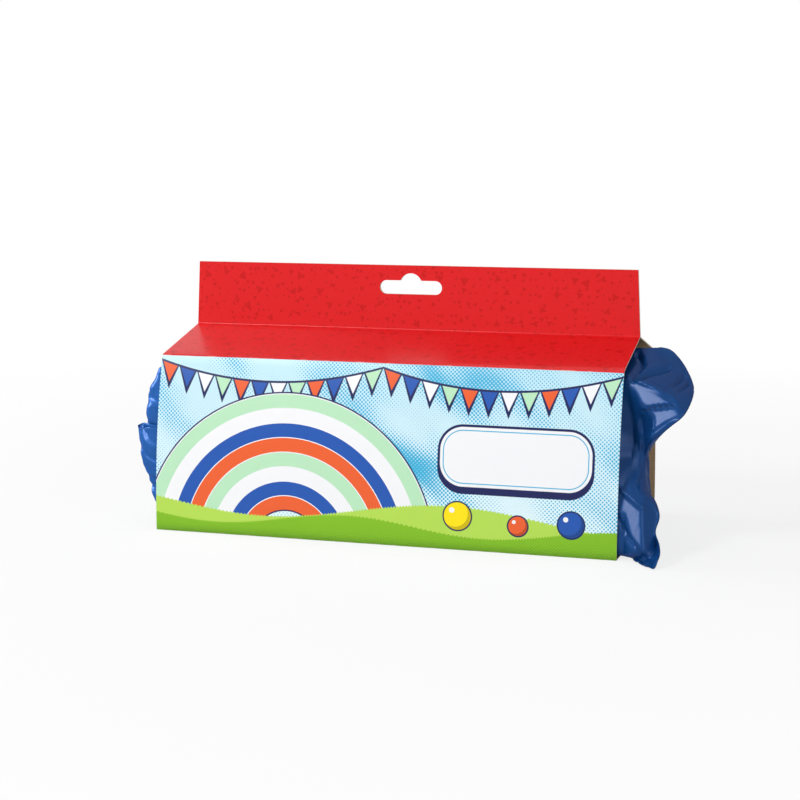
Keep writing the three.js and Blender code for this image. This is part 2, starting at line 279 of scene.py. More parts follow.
def front_profile(x):
    """Half of the sleeve's profile in (y, z) at a place along it, from header top to base corner."""
    fold = crease_radius(x)
    top = Vector((-HEADER_FACE, HEADER_TOP))
    foot = Vector((-HEADER_FACE, HEADER_FOOT))
    crease = Vector((-HALF_CREASE, CREASE_HEIGHT))
    control = Vector((-HALF_BASE, BOW_HEIGHT))
    corner = Vector((-HALF_BASE, 0))
    slope = (crease - foot).normalized()
    bow = (control - crease).normalized()
    before = crease - slope * fold
    after = crease + bow * fold
    foot_up = foot + Vector((0, FOOT_FOLD))
    foot_out = foot + slope * FOOT_FOLD
    return [
        *straight(top, foot_up, FLAT_STEPS),
        *quadratic(foot_up, foot, foot_out, FOLD_STEPS)[1:],
        *straight(foot_out, before, FLAT_STEPS)[1:],
        *quadratic(before, crease, after, FOLD_STEPS)[1:],
        *quadratic(after, control, corner, BOW_STEPS)[1:],
    ]


def line_lengths(points):
    """Distance along a line at each of its points."""
    lengths = [0.0]
    for a, b in zip(points, points[1:]):
        lengths.append(lengths[-1] + (b - a).length)
    return lengths


HALF_LINE = front_profile(-HALF_LENGTH)
HALF_MARKS = line_lengths(HALF_LINE)
HEADER_END = HEADER_TOP - HEADER_FOOT
SHOULDER_END = HEADER_END + math.hypot(HALF_CREASE - HEADER_FACE, HEADER_FOOT - CREASE_HEIGHT)
FRONT_END = HALF_MARKS[-1]
BASE_END = FRONT_END + 2 * HALF_BASE
BLANK_END = BASE_END + FRONT_END


def swing(place, wave):
    """A sine wave, by its radians per metre and its start."""
    rate, start = wave
    return math.sin(place * rate + start)


def card_wave(x, mark):
    """Slow unevenness of a board that has been creased and handled."""
    return CARD_WAVE * swing(x, WAVE_ALONG) * swing(mark, WAVE_DOWN)


def sleeve_station(front):
    """Points of the whole profile, from its front half."""
    base = straight(front[-1], Vector((HALF_BASE, 0)), FLAT_STEPS)[1:-1]
    back = [Vector((-p.x, p.y)) for p in reversed(front)]
    return front + base + back


def sleeve_marks(front):
    """Distances down the blank of the points of the whole profile."""
    lengths = line_lengths(front)
    half = [m * FRONT_END / lengths[-1] for m in lengths]
    base = [FRONT_END + (BASE_END - FRONT_END) * i / FLAT_STEPS for i in range(1, FLAT_STEPS)]
    return half + base + [BLANK_END - m for m in reversed(half)]


def slot_outline():
    """The slot's outline in (x, z), anticlockwise."""
    radius = SLOT_HEIGHT / 2
    middle = HEADER_TOP - SLOT_TOP_MARGIN - radius
    arm = SLOT_LENGTH / 2 - radius
    rise = math.asin((radius - PEG_RISE) / PEG_RADIUS)
    arcs = [
        (arm, middle, radius, -math.pi / 2, math.pi / 2),
        (0, middle + PEG_RISE, PEG_RADIUS, rise, math.pi - rise),
        (-arm, middle, radius, math.pi / 2, 3 * math.pi / 2),
    ]
    points = []
    for cx, cz, r, start, end in arcs:
        for i in range(SLOT_ARC_STEPS + 1):
            turn = start + (end - start) * i / SLOT_ARC_STEPS
            points.append((cx + r * math.cos(turn), cz + r * math.sin(turn)))
    return points


def slot_cutter():
    outline = slot_outline()
    reach = 10 * HEADER_FACE
    verts = [(x, -reach, z) for x, z in outline] + [(x, reach, z) for x, z in outline]
    count = len(outline)
    faces = [tuple(range(count)), tuple(range(2 * count - 1, count - 1, -1))]
    for i in range(count):
        j = (i + 1) % count
        faces.append((j, i, count + i, count + j))
    return new_object("slot_cutter", verts, faces)


def make_sleeve():
    verts = []
    blank = []
    for i in range(LENGTH_STEPS + 1):
        share = 2 * i / LENGTH_STEPS - 1
        front = front_profile(share * HALF_LENGTH)
        marks = sleeve_marks(front)
        for p, mark in zip(sleeve_station(front), marks):
            taper = HEADER_TAPER * max(0.0, (p.y - HEADER_FOOT) / (HEADER_TOP - HEADER_FOOT))
            x = share * (HALF_LENGTH - taper)
            on_wall = HEADER_END < mark < BLANK_END - HEADER_END and p.y > FLAT_FOOT
            wave = card_wave(x, mark) if on_wall else 0.0
            verts.append((x, p.x + wave, p.y))
            blank.append((x, mark))
    columns = len(marks)
    piece = new_object("card_sleeve", verts, grid_faces(LENGTH_STEPS + 1, columns))
    map_flat(piece, "Blank", blank)
    shade_smooth(piece)
    board = thicken(piece, CARD, -1)
    board.use_even_offset = True
    board.material_offset = 1
    board.material_offset_rim = EDGE_SLOT
    for material in (printed_card(), kraft_card(), card_edge()):
        piece.data.materials.append(material)
    apply_modifiers(piece)
    cutter = slot_cutter()
    for _ in piece.data.materials:
        cutter.data.materials.append(piece.data.materials[EDGE_SLOT])
    cut = piece.modifiers.new("slot", "BOOLEAN")
    cut.operation = "DIFFERENCE"
    cut.object = cutter
    cut.solver = "EXACT"
    apply_modifiers(piece)
    bpy.data.objects.remove(cutter)
    cut_faces = [face for face in piece.data.polygons if face.material_index == EDGE_SLOT]
    cut_edges = {key for face in cut_faces for key in face.edge_keys}
    for edge in piece.data.edges:
        edge.use_edge_sharp = edge.key in cut_edges
    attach(piece, "sleeve")
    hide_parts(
        "header_front_leaf", "header_back_leaf", "front_shoulder", "back_shoulder",
        "front_panel", "back_panel", "base_panel",
    )
    return piece


# Print on the card: plain shapes in flat inks, in metres of the flat blank
# u runs along the sleeve, v down the blank from the front header's top edge, w up a wall from its foot

INK_EDGE = 0.1 * MM
RED = srgb("#DB191D")
RED_TONE = srgb("#C90F12")
SKY_HIGH = srgb("#BFE4F1")
SKY_LOW = srgb("#E3F5FA")
SKY_DOT = srgb("#3FAED6")
MEADOW = srgb("#84BC26")
MEADOW_DOT = srgb("#6CA51D")
MEADOW_FAR = srgb("#B4D956")
PAPER_WHITE = srgb("#F1F1F4")
NAVY = srgb("#1B2255")
SUNNY = srgb("#FFE112")
ORANGE = srgb("#EA6132")
BLUE = srgb("#2557AE")
MINT = srgb("#B9E4BF")
BAND_INKS = [ORANGE, BLUE, PAPER_WHITE, MINT]

CONFETTI_CELLS = (7.5 * MM, 3.6 * MM)
CONFETTI_SIZE = 0.2
CONFETTI_EDGE = 0.012
TRIANGLE_SIDE = 0.866

# Dots of the sky, which swell and shrink in slanting patches
DOT_CELL = 1.9 * MM
DOT_EDGE = 0.07
PATCH_SLANT = 0.45
PATCH_SWELL = 1.5
PATCH_SHIFT = -0.52

# Dots of the grass, which shrink up the near hill
MEADOW_DOT_CELL = 1.5 * MM
MEADOW_DOT_EDGE = 0.08
MEADOW_DOT_FOOT = 0.36
MEADOW_DOT_FADE = -26.0
BASE_DOT = 0.3

ARCH_MIDDLE = (-46 * MM, -4 * MM)
ARCH_OUTER = 74 * MM
ARCH_INNER = 18 * MM
ARCH_COUNT = 8
ARCH_LINE_SHARE = 0.09
OUTLINE = 0.7 * MM

SWAG_SPAN = 114.3 * MM
SWAG_TOP = 84 * MM
SWAG_SAG = 9 * MM
PENNANT_PITCH = 9.525 * MM
PENNANT_HEIGHT = 9 * MM
PENNANT_SHARE = 0.42
PENNANT_TIP = 2.5
PENNANT_EDGE = 0.01
INK_MARGIN = 0.05

PANEL_MIDDLE = (66 * MM, 44 * MM)
BACK_PANEL_MIDDLE = (0.0, 42 * MM)
PANEL_HALF = (36 * MM, 14 * MM)
PANEL_CORNER = 11 * MM
PANEL_BORDER = 1.2 * MM
PANEL_SHADE = 2.2 * MM
PANEL_LINE = 1.6 * MM
PANEL_LINE_HALF = 0.25 * MM

# Balls on the grass: place, radius, ink
BALLS = {
    "left": ((39 * MM, 16 * MM), 6.5 * MM, SUNNY),
    "middle": ((68 * MM, 13 * MM), 4.5 * MM, ORANGE),
    "right": ((93 * MM, 15 * MM), 6.0 * MM, BLUE),
}
BALL_SHINE = 0.42
BALL_SHADE = 0.22
BALL_DARK = 0.62
SHINE_SIZE = 0.2

# Hills: height, swell, waves per metre, start of the wave
FAR_HILL = (15 * MM, 5.0 * MM, 34, 0.4)
NEAR_HILL = (9 * MM, 3.5 * MM, 47, 2.3)
GRASS_PITCH = 1.7 * MM
GRASS_HEIGHT = 1.5 * MM
GRASS_LEAN = 6 * MM


def together(g, a, b):
    return g.add("CombineXYZ", {0: a, 1: b}).outputs[0]


def length(g, a, b):
    return g.add("VectorMath", {0: together(g, a, b)}, operation="LENGTH").outputs["Value"]


def from_middle(g, u, w, middle):
    return g.math("SUBTRACT", u, middle[0]), g.math("SUBTRACT", w, middle[1])


def cell_place(g, value, cell):
    """Place inside a cell of a row, from -0.5 to 0.5."""
    return g.math("SUBTRACT", g.math("FRACT", g.math("DIVIDE", value, cell)), 0.5)


def staggered(g, u, v, cell):
    """Place inside a cell of a grid turned by 45 degrees."""
    return cell_place(g, g.math("ADD", u, v), cell), cell_place(g, g.math("SUBTRACT", u, v), cell)


def stepped_inks(g, value, inks, line_share=0.0):
    """Inks in turn as the value goes from 0 to 1, with a white line at the end of each if asked for."""
    bands = g.add("ValToRGB", {0: value})
    ramp = bands.color_ramp
    ramp.interpolation = "CONSTANT"
    for band, ink in enumerate(inks):
        stop = ramp.elements[0] if band == 0 else ramp.elements.new(band / len(inks))
        stop.color = ink
        if line_share:
            ramp.elements.new((band + 1 - line_share) / len(inks)).color = PAPER_WHITE
    return bands.outputs[0]


def confetti(g, u, v, cell, under):
    """Small tonal triangles scattered on the red, each turned its own way."""
    place = together(g, g.math("DIVIDE", u, cell), g.math("DIVIDE", v, cell))
    scatter = g.add("TexVoronoi", {"Vector": place, "Scale": 1.0}, voronoi_dimensions="2D")
    off = g.add("VectorMath", {0: place, 1: scatter.outputs["Position"]}, operation="SUBTRACT").outputs[0]
    chance = g.add("SeparateXYZ", {0: scatter.outputs["Color"]})
    turn = g.math("MULTIPLY", chance.outputs[0], 2 * math.pi)
    turned = g.add("VectorRotate", {"Vector": off, "Angle": turn}, rotation_type="Z_AXIS").outputs[0]
    split = g.add("SeparateXYZ", {0: turned})
    a = g.math("MULTIPLY", g.math("ABSOLUTE", split.outputs[0]), TRIANGLE_SIDE)
    side = g.math("MULTIPLY_ADD", split.outputs[1], 0.5, a)
    reach = g.math("MAXIMUM", side, g.math("MULTIPLY", split.outputs[1], -1.0))
    size = g.math("MULTIPLY", chance.outputs[1], CONFETTI_SIZE)
    return g.mix(g.below(reach, size, CONFETTI_EDGE), under, RED_TONE)


def red_ground(g, u, v):
    red = g.mix(0.0, RED, RED)
    for cell in CONFETTI_CELLS:
        red = confetti(g, u, v, cell, red)
    return red


def dotted_sky(g, u, w):
    """Pale blue with patches of dots that swell and shrink."""
    height = g.math("DIVIDE", w, CREASE_HEIGHT)
    sky = g.mix(height, SKY_LOW, SKY_HIGH)
    a, b = staggered(g, u, w, DOT_CELL)
    across = g.math("MULTIPLY", g.math("SUBTRACT", u, w), PATCH_SLANT)
    patch = g.speckle(together(g, g.math("ADD", u, w), across), scale=26.0, detail=1.5)
    size = g.math("MULTIPLY_ADD", patch, PATCH_SWELL, PATCH_SHIFT)
    return g.mix(g.below(length(g, a, b), size, DOT_EDGE), sky, SKY_DOT)


def pennants(g, u, w, under):
    """A string of pennants in the band inks that hangs in swags."""
    share = g.math("FRACT", g.math("DIVIDE", g.math("ADD", u, SWAG_SPAN), SWAG_SPAN))
    hang = g.math("MULTIPLY", share, g.math("SUBTRACT", 1.0, share))
    sag = g.math("MULTIPLY", hang, 4 * SWAG_SAG)
    line = g.math("SUBTRACT", SWAG_TOP, sag)
    across = g.math("ABSOLUTE", cell_place(g, u, PENNANT_PITCH))
    drop = g.math("SUBTRACT", line, w)

    def triangle(grow):
        left = g.math("SUBTRACT", 1.0, g.math("DIVIDE", drop, PENNANT_HEIGHT + PENNANT_TIP * grow))
        half = g.math("MULTIPLY_ADD", left, PENNANT_SHARE, grow / PENNANT_PITCH)
        inside = g.below(across, half, PENNANT_EDGE)
        return g.math("MULTIPLY", inside, g.below(0.0, g.math("ADD", drop, grow), INK_EDGE))

    number = g.math("FLOOR", g.math("DIVIDE", u, PENNANT_PITCH))
    turn = g.math("FRACT", g.math("DIVIDE", number, len(BAND_INKS)))
    inks = stepped_inks(g, g.math("ADD", turn, INK_MARGIN), BAND_INKS)
    picture = g.mix(triangle(OUTLINE), under, NAVY)
    picture = g.mix(triangle(0.0), picture, inks)
    string = g.below(g.math("ABSOLUTE", drop), OUTLINE / 2, INK_EDGE)
    return g.mix(string, picture, NAVY)


def arch(g, u, w, under):
    """Rings of plain colours that stand behind the hills."""
    radius = length(g, *from_middle(g, u, w, ARCH_MIDDLE))
    share = g.math("DIVIDE", g.math("SUBTRACT", radius, ARCH_INNER), ARCH_OUTER - ARCH_INNER)
    bands = stepped_inks(g, share, BAND_INKS * (ARCH_COUNT // len(BAND_INKS)), ARCH_LINE_SHARE)

    def ring(inner, outer):
        hole = g.below(radius, inner, INK_EDGE)
        return g.math("SUBTRACT", g.below(radius, outer, INK_EDGE), hole)

    outlined = g.mix(ring(ARCH_INNER - OUTLINE, ARCH_OUTER + OUTLINE), under, NAVY)
    return g.mix(ring(ARCH_INNER, ARCH_OUTER), outlined, bands)


def hill_top(g, u, shape):
    height, swell, waves, start = shape
    wave = g.math("SINE", g.math("MULTIPLY_ADD", u, waves, start))
    leaning = g.math("MULTIPLY_ADD", wave, GRASS_LEAN, u)
    blade = g.math("ABSOLUTE", cell_place(g, leaning, GRASS_PITCH))
    grass = g.math("MULTIPLY", blade, GRASS_HEIGHT)
    return g.math("ADD", grass, g.math("MULTIPLY_ADD", wave, swell, height))


def hills(g, u, w, under):
    """Two green hills with grass along their tops, the near one dotted darker towards its foot."""
    picture = g.mix(g.below(w, hill_top(g, u, FAR_HILL), INK_EDGE), under, MEADOW_FAR)
    a, b = staggered(g, u, w, MEADOW_DOT_CELL)
    size = g.math("MULTIPLY_ADD", w, MEADOW_DOT_FADE, MEADOW_DOT_FOOT)
    near = g.mix(g.below(length(g, a, b), size, MEADOW_DOT_EDGE), MEADOW, MEADOW_DOT)
    return g.mix(g.below(w, hill_top(g, u, NEAR_HILL), INK_EDGE), picture, near)


def blank_panel(g, u, w, middle, under):
    """A bare white panel with round ends, a dark border that is wider below, and a fine line inside."""
    def distance(drop):
        def excess(value, centre, half):
            off = g.math("ABSOLUTE", g.math("SUBTRACT", value, centre))
            return g.math("MAXIMUM", g.math("SUBTRACT", off, half - PANEL_CORNER), 0.0)
        a = excess(u, middle[0], PANEL_HALF[0])
        b = excess(w, middle[1] - drop, PANEL_HALF[1])
        return g.math("SUBTRACT", length(g, a, b), PANEL_CORNER)
    edge = distance(0.0)
    picture = g.mix(g.below(distance(PANEL_SHADE), PANEL_BORDER, INK_EDGE), under, NAVY)
    picture = g.mix(g.below(edge, PANEL_BORDER, INK_EDGE), picture, NAVY)
    picture = g.mix(g.below(edge, 0.0, INK_EDGE), picture, PAPER_WHITE)
    line = g.math("ABSOLUTE", g.math("ADD", edge, PANEL_LINE))
    return g.mix(g.below(line, PANEL_LINE_HALF, INK_EDGE), picture, SKY_DOT)


def ball(g, u, w, under, shape):
    """A plain ball with an outline, a shaded side and a small shine."""
    middle, radius, ink = shape

    def disc(shift, size):
        place = (middle[0] - shift * radius, middle[1] + shift * radius)
        return g.below(length(g, *from_middle(g, u, w, place)), size * radius, INK_EDGE)

    outlined = g.mix(disc(0.0, 1 + OUTLINE / radius), under, NAVY)
    shaded = g.mix(disc(0.0, 1.0), outlined, darker(ink, BALL_DARK))
    lit = g.mix(g.math("MULTIPLY", disc(0.0, 1.0), disc(BALL_SHADE, 1.0)), shaded, ink)
    return g.mix(disc(BALL_SHINE, SHINE_SIZE), lit, PAPER_WHITE)


def front_picture(g, u, w):
    picture = pennants(g, u, w, dotted_sky(g, u, w))
    picture = arch(g, u, w, picture)
    picture = hills(g, u, w, picture)
    picture = blank_panel(g, u, w, PANEL_MIDDLE, picture)
    for shape in BALLS.values():
        picture = ball(g, u, w, picture, shape)
    return picture


def back_picture(g, u, w):
    picture = hills(g, u, w, pennants(g, u, w, dotted_sky(g, u, w)))
    return blank_panel(g, u, w, BACK_PANEL_MIDDLE, picture)


CREASE_WEAR = 0.3 * MM
WEAR_SHARE = 0.43
WEAR_EDGE = 0.06
WEAR_STRENGTH = 0.4
WORN_INK = srgb("#F0D9D0")


def worn_creases(g, place, v, colour):
    """Ink rubbed pale along the creases, in small patches."""
    patch = g.math("SUBTRACT", 1.0, g.speckle(place, scale=130.0, detail=4.0))
    patchy = g.math("MULTIPLY", g.below(patch, WEAR_SHARE, WEAR_EDGE), WEAR_STRENGTH)
    for mark in (SHOULDER_END, FRONT_END, BASE_END, BLANK_END - SHOULDER_END):
        off = g.math("ABSOLUTE", g.math("SUBTRACT", v, mark))
        near = g.below(off, CREASE_WEAR, CREASE_WEAR)
        colour = g.mix(g.math("MULTIPLY", near, patchy), colour, WORN_INK)
    return colour


BOARD_SWELL = 2.0
BOARD_GRAIN = 0.15


def printed_card():
    """Varnished print on the outside of the sleeve."""
    g = Graph("printed_card")
    blank, u, v = g.flat_place("Blank")
    up_front = g.math("SUBTRACT", FRONT_END, v)
    up_back = g.math("SUBTRACT", v, BASE_END)
    red = red_ground(g, u, v)
    a, b = staggered(g, u, v, MEADOW_DOT_CELL)
    base = g.mix(g.below(length(g, a, b), BASE_DOT, MEADOW_DOT_EDGE), MEADOW, MEADOW_DOT)
    colour = g.mix(g.below(v, BLANK_END - SHOULDER_END, INK_EDGE), red, back_picture(g, u, up_back))
    colour = g.mix(g.below(v, BASE_END, INK_EDGE), colour, base)
    colour = g.mix(g.below(v, FRONT_END, INK_EDGE), colour, front_picture(g, u, up_front))
    colour = g.mix(g.below(v, SHOULDER_END, INK_EDGE), colour, red)
    colour = worn_creases(g, blank, v, colour)
    grain = g.speckle(blank, scale=900.0, detail=2.0)
    swell = g.speckle(blank, scale=45.0, detail=2.0)
    height = g.math("MULTIPLY_ADD", swell, BOARD_SWELL, g.math("MULTIPLY", grain, BOARD_GRAIN))
    g.principled(
        Base_Color=colour, Roughness=g.spread(grain, low=0.26, high=0.38), Specular_IOR_Level=0.2,
        Coat_Weight=0.06, Coat_Roughness=0.12, Normal=g.bump(height, strength=0.12, distance=0.3 * MM),
    )
    return g.material


KRAFT = (srgb("#AB8A62"), srgb("#CDAD82"))
KRAFT_FLECK = srgb("#7C5E3D")
CUT_BOARD = (srgb("#C3B39B"), srgb("#EAE1D3"))
FIBRE_STRETCH = (1.0, 4.0, 6.0)
FLECK_SHARE = 0.34
FLECK_EDGE = 0.03
FLECK_STRENGTH = 0.5


def kraft_card():
    """Bare brown back of the board, with fibres along its grain."""
    g = Graph("kraft_card")
    place = g.object_place()
    grain = g.add("Mapping", {"Vector": place, "Scale": FIBRE_STRETCH}).outputs[0]
    fibre = g.speckle(grain, scale=220.0, detail=5.0)
    fleck = g.below(g.speckle(place, scale=900.0, detail=2.0), FLECK_SHARE, FLECK_EDGE)
    colour = g.mix(g.math("MULTIPLY", fleck, FLECK_STRENGTH), g.mix(fibre, *KRAFT), KRAFT_FLECK)
    bump = g.bump(fibre, strength=0.2, distance=0.2 * MM)
    g.principled(Base_Color=colour, Roughness=0.85, Specular_IOR_Level=0.2, Normal=bump)
    return g.material


def card_edge():
    """Cut edge of the board, pale with a little fibre."""
    g = Graph("card_edge")
    fibre = g.speckle(g.object_place(), scale=700.0, detail=3.0)
    g.principled(Base_Color=g.mix(fibre, *CUT_BOARD), Roughness=0.8)
    return g.material


# Rows of stitches along lines

STITCH_SIDES = 6
STITCH_RINGS = 4


def stitch_tree():
    """Geometry nodes that set a short thread at every step along the lines of a mesh."""
    tree = bpy.data.node_groups.new("stitches", "GeometryNodeTree")
    face = tree.interface
    face.new_socket("Geometry", in_out="OUTPUT", socket_type="NodeSocketGeometry")
    face.new_socket("Geometry", in_out="INPUT", socket_type="NodeSocketGeometry")
    for name in ("Pitch", "Length", "Thread"):
        face.new_socket(name, in_out="INPUT", socket_type="NodeSocketFloat")
    face.new_socket("Material", in_out="INPUT", socket_type="NodeSocketMaterial")

    def add(kind, **settings):
        node = tree.nodes.new(kind)
        for key, value in settings.items():
            setattr(node, key, value)
        return node

    def link(source, out, target, into):
        tree.links.new(source.outputs[out], target.inputs[into])

    start = add("NodeGroupInput")
    lines = add("GeometryNodeMeshToCurve")
    steps = add("GeometryNodeCurveToPoints", mode="LENGTH")
    thread = add("GeometryNodeMeshUVSphere")
    thread.inputs["Segments"].default_value = STITCH_SIDES
    thread.inputs["Rings"].default_value = STITCH_RINGS
    thread.inputs["Radius"].default_value = 0.5
    size = add("ShaderNodeCombineXYZ")
    place = add("GeometryNodeInstanceOnPoints")
    smooth = add("GeometryNodeSetShadeSmooth")
    real = add("GeometryNodeRealizeInstances")
    finish = add("GeometryNodeSetMaterial")
    end = add("NodeGroupOutput")
    link(start, "Geometry", lines, "Mesh")
    link(lines, "Curve", steps, "Curve")
    link(start, "Pitch", steps, "Length")
    link(steps, "Points", place, "Points")
    link(steps, "Rotation", place, "Rotation")
    link(thread, "Mesh", smooth, "Geometry")
    link(smooth, "Geometry", place, "Instance")
    link(start, "Thread", size, "X")
    link(start, "Thread", size, "Y")
    link(start, "Length", size, "Z")
    link(size, "Vector", place, "Scale")
    link(place, "Instances", real, "Geometry")
    link(real, "Geometry", finish, "Geometry")
    link(start, "Material", finish, "Material")
    link(finish, "Geometry", end, "Geometry")
    return tree


def make_stitches(name, lines, body, material, pitch, stitch, thread):
    """One piece with the stitches of several lines."""
    mesh = bpy.data.meshes.new(name)
    verts = []
    edges = []
    for line in lines:
        edges += [(len(verts) + i, len(verts) + i + 1) for i in range(len(line) - 1)]
        verts += [tuple(p) for p in line]
    mesh.from_pydata(verts, edges, [])
    piece = bpy.data.objects.new(name, mesh)
    bpy.context.scene.collection.objects.link(piece)
    rows = piece.modifiers.new("stitches", "NODES")
    tree = bpy.data.node_groups.get("stitches") or stitch_tree()
    rows.node_group = tree
    values = {"Pitch": pitch, "Length": stitch, "Thread": thread, "Material": material}
    for item in tree.interface.items_tree:
        if item.in_out == "INPUT" and item.name in values:
            rows[item.identifier] = values[item.name]
    apply_modifiers(piece)
    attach(piece, body)
    return piece


THREAD_DARK = 0.6


def thread_material(name, ink):
    """Sewing thread, darker in its twist."""
    g = Graph(name)
    twist = g.speckle(g.object_place(), scale=2500.0, detail=1.0)
    g.principled(Base_Color=g.mix(twist, darker(ink, THREAD_DARK), ink), Roughness=0.55)
    return g.material


# Satin bag: two cloths sewn along the bottom, the top and the right end, with a hem round the mouth

# The bag's section inside the sleeve, and the points along its parts
BAG_CLEARANCE = 0.5 * MM
CLOTH_ROOM = 0.2 * MM
BAG_SET_IN = CARD + BAG_CLEARANCE + CLOTH_ROOM
BAG_CORNER = 5 * MM
FLAT_POINTS = 12
BOW_POINTS = 40
CORNER_POINTS = 8

# Rows and columns of the cloths
AROUND = 96
BODY_ROWS = 24
END_ROWS = 28
SEAM_POINTS = 12
WALL_START = -94 * MM
HEM_OVERLAP = 1.0 * MM

# The bottom seam drifts to the front along the bag, the top goes slack, and the back turns in early
SEAM_DRIFT = 45 * MM
DRIFT_ALONG = (-40 * MM, 95 * MM)
TOP_SLACK = 0.045
SLACK_ALONG = (60 * MM, HALF_LENGTH)
SLACK_UP = (40 * MM, 90 * MM)
BACK_RECESS = 9 * MM
RECESS_ACROSS = (10 * MM, 50 * MM)
RECESS_UP = (0, 12 * MM)
END_BULGE = 0.45

# How firmly the cloth is held while it settles
FACE_HOLD = 0.9
HOLLOW_HOLD = 0.25
BACK_HOLD = 0.8
HELD_FOOT = AROUND // 3
HELD_ROWS_APART = 4
HELD_COLUMNS_APART = AROUND // 4

# How it is smoothed and kept in its place afterwards
IRON_PASSES = 12
IRON_HOLLOW = 0.6
IRON_FACE = 0.12
DEEPEST_SAG = 6 * MM
SAG_FREE_FROM = 25 * MM
SAG_GROWTH = 10
EDGE_MARGIN = 3 * MM
FLOOR_GAP = 0.4 * MM
PACKET_SIDE = 48 * MM
PACKET_TOP = 72 * MM


def set_in_corner(corner, run_in, run_out, distance):
    """A corner of the sleeve's profile, moved inwards."""
    a = Vector((run_in.y, -run_in.x))
    b = Vector((run_out.y, -run_out.x))
    return corner + (a + b) * (distance / (1 + a.dot(b)))


def bag_half_line(set_in):
    """Half of the bag's section in (y, z), from the middle of the base round the front to the ridge."""
    foot = Vector((-HEADER_FACE, HEADER_FOOT))
    crease = Vector((-HALF_CREASE, CREASE_HEIGHT))
    control = Vector((-HALF_BASE, BOW_HEIGHT))
    rise = (crease - control).normalized()
    slope = (foot - crease).normalized()
    corner = Vector((-HALF_BASE + set_in, set_in))
    top = set_in_corner(crease, rise, slope, set_in)
    bow = quadratic(corner, Vector((control.x + set_in, control.y)), top, BOW_POINTS)
    front = [p for p in bow if (p - corner).length > BAG_CORNER and (p - top).length > BAG_CORNER]
    peak = top + slope * (-top.x / slope.x)
    base_end = Vector((corner.x + BAG_CORNER, set_in))
    slope_start = top + slope * BAG_CORNER
    return [
        *straight(Vector((0, set_in)), base_end, FLAT_POINTS),
        *quadratic(base_end, corner, front[0], CORNER_POINTS)[1:],
        *front[1:],
        *quadratic(front[-1], top, slope_start, CORNER_POINTS)[1:],
        *straight(slope_start, peak, FLAT_POINTS)[1:],
    ]


BAG_HALF = bag_half_line(BAG_SET_IN)
BAG_MARKS = line_lengths(BAG_HALF)
BAG_HALF_LENGTH = BAG_MARKS[-1]


def along_line(points, marks, want):
    """The point at a distance along a line."""
    at = max(0, min(bisect.bisect_right(marks, want) - 1, len(marks) - 2))
    share = (want - marks[at]) / (marks[at + 1] - marks[at])
    return points[at].lerp(points[at + 1], share)


def on_section(mark):
    """A point of the bag's section, by its distance from the middle of the base: the back is below 0."""
    p = along_line(BAG_HALF, BAG_MARKS, abs(mark))
    return Vector((p.x if mark >= 0 else -p.x, p.y))


def spaced(points, steps):
    """Points at even distances along a line, both ends included."""
    marks = line_lengths(points)
    return [along_line(points, marks, marks[-1] * i / steps) for i in range(steps + 1)]


def smooth_line(points, steps):
    """A smooth line through points, by cubic pieces."""
    ends = [points[0] * 2 - points[1], *points, points[-1] * 2 - points[-2]]
    line = []
    for a, b, c, d in zip(ends, ends[1:], ends[2:], ends[3:]):
        for i in range(steps):
            t = i / steps
            line.append(0.5 * (
                2 * b + (c - a) * t + (2 * a - 5 * b + 4 * c - d) * t ** 2
                + (3 * b - a - 3 * c + d) * t ** 3
            ))
    return line + [points[-1].copy()]


def ease(value, start, end):
    """Goes smoothly from 0 at the start to 1 at the end."""
    t = max(0.0, min(1.0, (value - start) / (end - start)))
    return t * t * (3 - 2 * t)


# The end seam, from the tip of the tail on the floor up to the corner of the upper ear
END_SEAM = in_mm(
    (129.2, -68, 1.2), (132.5, -70, 1.0), (134.9, -65, 4.7), (134.1, -59, 8.9),
    (131.1, -53, 13.9), (132.3, -49, 20), (129.9, -45, 25.9), (126.1, -42, 29.9),
    (124.4, -39, 33.9), (123.4, -37, 39.1), (123.7, -38, 45.4), (125.4, -43, 50.9),
    (127.8, -49, 54.2), (131.6, -51.5, 57.8), (137.2, -51, 62.7), (142.2, -50.5, 67.1),
    (144.1, -41, 71.6), (143.9, -29, 75.4), (142, -20, 78.5), (138.5, -13, 83), (134.5, -7, 87),
    (130, -3, 90.5), (124, -1, 91.8),
)

# Edges of the forms that the front cloth takes outside the sleeve, as (x, z)
CROWN_EDGE = in_mm(
    (104, 84), (115.6, 82.6), (121.5, 80.8), (129.7, 76.8), (137.3, 72.5), (142.2, 67.6),
)
FACET_EDGE = in_mm(
    (110, 85), (114.8, 79.2), (118.6, 73.4), (121, 69), (124.4, 66.8), (126.6, 64.4),
    (126.8, 59.4), (126.4, 53.8),
)
LOBE_TOP = in_mm(
    (104, 45), (114.6, 41), (118.8, 38.6), (122.5, 35.8), (127.1, 31), (132.3, 21.6),
)
LOBE_RIDGE = in_mm(
    (122, 40), (124.7, 26.7), (125.8, 17.6), (127.4, 6.1), (130, 0),
)
EAR_FACE = Vector((142.2, -50.5, 67.1)) * MM
LOBE_FACE = Vector((122, -56.5, 18)) * MM
FACE_SLOPE = Vector((-0.163, 0.391))
LOBE_FALL = 1.5
HOLLOW_FLOOR = -40 * MM
FORM_EDGE = 1.2 * MM

# Where the forms begin, along the bag, from the seam and over the floor, and where its faces fade
LOBE_ALONG = (HALF_LENGTH - 2 * MM, HALF_LENGTH + 1.5 * MM)
FORM_ALONG = (HALF_LENGTH - 12 * MM, HALF_LENGTH)
FORM_FROM_SEAM = (0, 0.12)
FORM_UP = (2 * MM, 7 * MM)
EAR_FADE = (-1 * MM, 2 * MM)
LOBE_FADE = (-2 * MM, -8 * MM)

